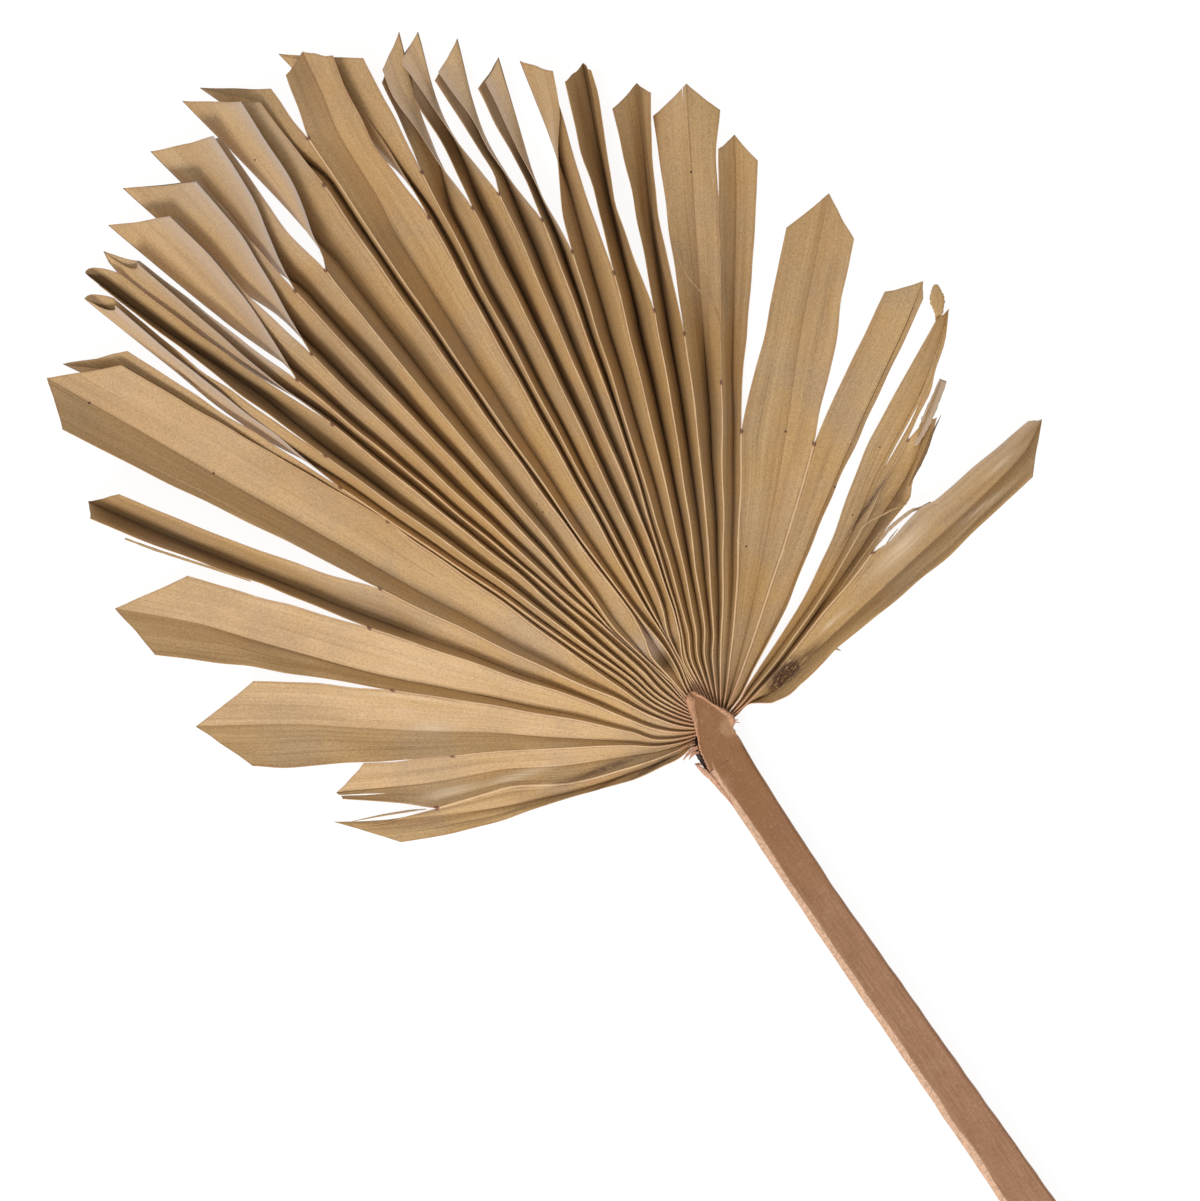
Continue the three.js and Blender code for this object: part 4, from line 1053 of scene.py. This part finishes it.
# The dark mats, partly painted shade at the neck, and the torn bark and fibres there: name, x, y, z points,
# widths, thickness, looks.
NECK_SHADE_MATS = [
    # A dark ring round the hastula's edge: painted shade in the gap between it and the blade.
    ("neck_collar",
     [(6, -0.6, 5), (5.2, 1.8, 5), (3.8, 4.6, 5), (2.2, 8, 5), (1, 11.4, 5), (0, 14, 5),
      (-1.8, 15.8, 5), (-3.8, 15.8, 5), (-5.2, 13.6, 5), (-6.2, 10.8, 5), (-7, 7.4, 5), (-8.1, 4.4, 5),
      (-9.2, 1.4, 5), (-10.2, -1.6, 5.4), (-11, -4, 6)],
     [1.6, 2.6, 2.8, 2.8, 2.8, 2.6, 1.6], 2.4, {}),
    # Under the torn bark on the left: partly its rotten fibre, partly painted shade.
    ("neck_shadowed_mat",
     [(-9.9, 4.2, 6.4), (-10.9, 1, 6.6), (-12, -2, 6.8), (-12.7, -5.4, 7), (-12.9, -8.4, 7),
      (-13, -11, 6.8), (-13.1, -13.5, 6.8)],
     [0.8, 1.9, 2.5, 2.2, 1.9, 1.4, 0.4], 2.5, dict(tilt=12)),
]
NECK_FIBRES = [
    ("neck_flap",
     [(-15.7, -7.4, 8), (-15, -9.4, 8.3), (-14.4, -12, 8.4), (-13.5, -15, 8.2), (-13, -19, 8.2),
      (-12.5, -23.5, 8.3), (-12.2, -28.5, 8.4)],
     [0.5, 1.4, 2.2, 2.2, 1.9, 1.7, 1.2, 0.4], 0.7, dict(tilt=-20, rim_share=0.85)),
    ("neck_fibre_1",
     [(-11.4, -2.6, 9), (-13, -2.3, 9), (-15, -2.6, 8.8), (-17, -3, 8.2), (-18.9, -3.8, 7.6)],
     [1.5, 1.9, 1.5, 0.9, 0.2], 0.5, dict(tilt=15, rim_share=0.45)),
    ("neck_fibre_2", [(-12, -4.4, 8.6), (-13.6, -3.8, 8.6), (-15.2, -4, 8.2), (-16.9, -4.8, 7.6)],
     [0.9, 1.3, 1.0, 0.2], 0.4, dict(tilt=-10, rim_share=0.6)),
    ("neck_fibre_3", [(-11.6, -1, 9.2), (-13, -0.4, 9), (-14.6, -0.5, 8.6)],
     [0.6, 0.9, 0.3], 0.4, dict(rim_share=0.35)),
    ("neck_fibre_4", [(-13.6, -9.2, 8.9), (-14.6, -8, 9), (-15.9, -7.2, 8.6)],
     [0.5, 0.8, 0.2], 0.35, dict(rim_share=0.2)),
    ("neck_fibre_5", [(-13.2, -12, 9.2), (-14.2, -10.4, 9.3), (-14.6, -8.8, 9)],
     [0.4, 0.7, 0.15], 0.3, dict(rim_share=1)),
    ("neck_fibre_6", [(5.6, -2.2, 9.9), (6.3, -2.7, 9.8), (7.1, -3.6, 9.4)],
     [0.6, 0.5, 0.15], 0.3, dict(rim_share=0.9)),
    ("neck_fibre_7", [(5.9, -1.6, 10), (6.8, -2, 9.9), (7.3, -1.7, 9.7)],
     [0.5, 0.4, 0.15], 0.3, dict(rim_share=0.9)),
]
for table, look in ((NECK_SHADE_MATS, FIBRE_AND_SHADE_LOOK), (NECK_FIBRES, FIBRE_LOOK)):
    for name, path, widths, thickness, looks in table:
        settle(ribbon(name, path, widths, thickness, look, **looks), "petiole")

# Shreds of the torn segments and hair-like loose threads: name, points as distance, angle, height, widths,
# thickness, looks.
OUTER_SHREDS = [
    ("pale_shred",
     [(130, 68, 5.5), (137, 67.4, 6), (143, 66.9, 6.6), (150, 66.4, 6.6), (156.5, 65.9, 6.2)],
     [1.2, 3.2, 4, 3.8, 3.4, 3], 0.3, dict(tilt=8, grey_and_sheen=0.55)),
    ("brown_shred", [(133, 67.5, 6.3), (142, 66.75, 7.4), (149, 66.2, 7.6), (155.5, 65.7, 7.2)],
     [0.5, 0.9, 0.6, 0.2], 0.3, dict(tilt=25, stain=0.2)),
    ("dark_sliver",
     [(116, 71.3, 6), (125.2, 70.5, 6.6), (131, 69.9, 7), (137.6, 69, 7.2), (144.9, 68.5, 7)],
     [0.5, 1.3, 1.4, 1, 0.2], 0.3, dict(tilt=30, stain=0.7)),
    ("loose_flake",
     [(174.5, 61.15, 5.2), (178, 60.9, 5.6), (181.5, 60.1, 5.8), (184.4, 59.5, 5.8), (186.8, 59.1, 5.6)],
     [0.6, 3.6, 6.2, 4.6, 1.6], 0.35, dict(tilt=-12)),
    ("edge_strand",
     [(117, 76.3, 6), (112.4, 75.7, 6), (109.8, 74.8, 6.2), (105, 74.3, 6.4), (99.1, 73.8, 6.6),
      (92, 73.9, 6.4), (86.5, 74.3, 6)],
     [0.4, 1, 1.3, 1.5, 1.5, 1.2, 0.5], 0.3, dict(tilt=10, grey_and_sheen=0.4)),
    ("thread_1",
     [(110.4, 73.2, 7.4), (104.9, 71.6, 9.2), (100.2, 70.4, 9.8), (95.2, 68.9, 9.4), (91, 68.7, 8.6),
      (87.4, 68.3, 7.2)],
     [0.3, 0.8, 0.7, 0.6, 0.8, 0.4], 0.3, {}),
    ("thread_2", [(101, 75.2, 6.2), (97, 75.3, 6.8), (93.4, 75.6, 6.2)],
     [0.2, 0.5, 0.2], 0.2, {}),
    ("thread_3", [(68, 74.6, 8), (76, 73.8, 8.8), (84, 73.2, 9), (94, 72.8, 8.6), (112, 73, 6.8)],
     [0.2, 0.35, 0.35, 0.35, 0.2], 0.2, {}),
]
BLADE_SHREDS = [
    ("sliver_1", [(116, -73.1, 5.4), (122, -72.6, 5.8), (132, -72.1, 6), (144.5, -71.8, 5.6)],
     [0.3, 0.9, 0.8, 0.2], 0.3, dict(stain=0.25)),
    ("edge_strand_2",
     [(236.3, -39.65, 13.4), (225, -39.8, 13), (210, -39.85, 12.5), (198, -39.9, 12), (186, -40, 11.6)],
     [0.7, 1.1, 1, 0.8, 0.4], 0.3, dict(stain=0.12)),
    ("hair_1", [(184.5, 27.3, 13.6), (172, 28.5, 13.4), (166, 30, 12), (160, 32, 11.6), (152, 33, 14)],
     [0.2, 0.3, 0.35, 0.3, 0.2], 0.2, {}),
]
THORNS = [
    ("thorn_1", [(52.4, 88.6, 6), (53.4, 90.2, 6), (54.4, 91.7, 5.8)],
     [1, 0.8, 0.15], 0.4, dict(stain=0.4)),
]
for table, node in ((OUTER_SHREDS, "outer_segments"), (BLADE_SHREDS, "blade"), (THORNS, "outer_segments")):
    for name, path, widths, thickness, looks in table:
        points = [polar(*point) for point in path]
        settle(ribbon(name, points, widths, thickness, LEAF, **looks), node)

# Camera: straight down, turned so that the stalk runs off at the lower right. Sizes from here on are
# metres.
TURN = math.radians(32.9)
DISTANCE = 2.2
FRAME_WIDTH = 0.4564
FOCUS_HEIGHT = 0.008
FRAME_MIDDLE = (-0.01232, 0.06441)  # the middle of the frame, from the leaf's origin
SENSOR_WIDTH = 36
FAR_CLIP = 20

right = Vector((math.cos(TURN), -math.sin(TURN), 0))
up = Vector((math.sin(TURN), math.cos(TURN), 0))
scene = bpy.context.scene
scene.view_settings.view_transform = "Standard"
camera = put("camera", bpy.data.cameras.new("camera"))
camera.matrix_world = Matrix((
    (right.x, up.x, 0, ORIGIN[0] + FRAME_MIDDLE[0]),
    (right.y, up.y, 0, ORIGIN[1] + FRAME_MIDDLE[1]),
    (0, 0, 1, DISTANCE + FOCUS_HEIGHT),
    (0, 0, 0, 1),
))
camera.data.sensor_width = SENSOR_WIDTH
camera.data.lens = SENSOR_WIDTH * DISTANCE / FRAME_WIDTH
camera.data.clip_end = FAR_CLIP
scene.camera = camera

# Floor: a wide sheet that glows, so that it stays white under the leaf and the leaf's shadow on it is
# faint.
FLOOR_REACH = 3
FLOOR_LOOK = {
    "Base Color": (0.16, 0.16, 0.16, 1),
    "Emission Color": (1, 1, 1, 1),
    "Emission Strength": 0.9,
    "Roughness": 0.9,
}
floor_mesh = bpy.data.meshes.new("floor")
floor_corners = [(x * FLOOR_REACH, y * FLOOR_REACH, 0) for x, y in ((-1, -1), (1, -1), (1, 1), (-1, 1))]
floor_mesh.from_pydata(floor_corners, [], [(0, 1, 2, 3)])
floor = put("floor", floor_mesh)
floor_graph = Graph("floor")
for name, value in FLOOR_LOOK.items():
    floor_graph.shader.inputs[name].default_value = value
floor_mesh.materials.append(floor_graph.material)

WORLD_BRIGHTNESS = 0.505
world = bpy.data.worlds.new("studio")
world.use_nodes = True
sky = world.node_tree.nodes["Background"]
sky.inputs["Color"].default_value = (1, 1, 1, 1)
sky.inputs["Strength"].default_value = WORLD_BRIGHTNESS
scene.world = world


def soft_light(name, towards, distance, size, watts):
    """A square soft box that shines at the leaf from the given direction."""
    lamp = bpy.data.lights.new(name, "AREA")
    lamp.energy = watts
    lamp.size = size
    made = put(name, lamp)
    direction = Vector(towards).normalized()
    made.location = direction * distance
    made.rotation_mode = "QUATERNION"
    made.rotation_quaternion = direction.to_track_quat("Z", "Y")


soft_light("key", right * -0.25 - up * 0.97 + Vector((0, 0, 0.92)), distance=1.8, size=0.6, watts=24.5)
soft_light("fill", up * 0.5 - right * 0.6 + Vector((0, 0, 1.5)), distance=2.2, size=1.6, watts=7)
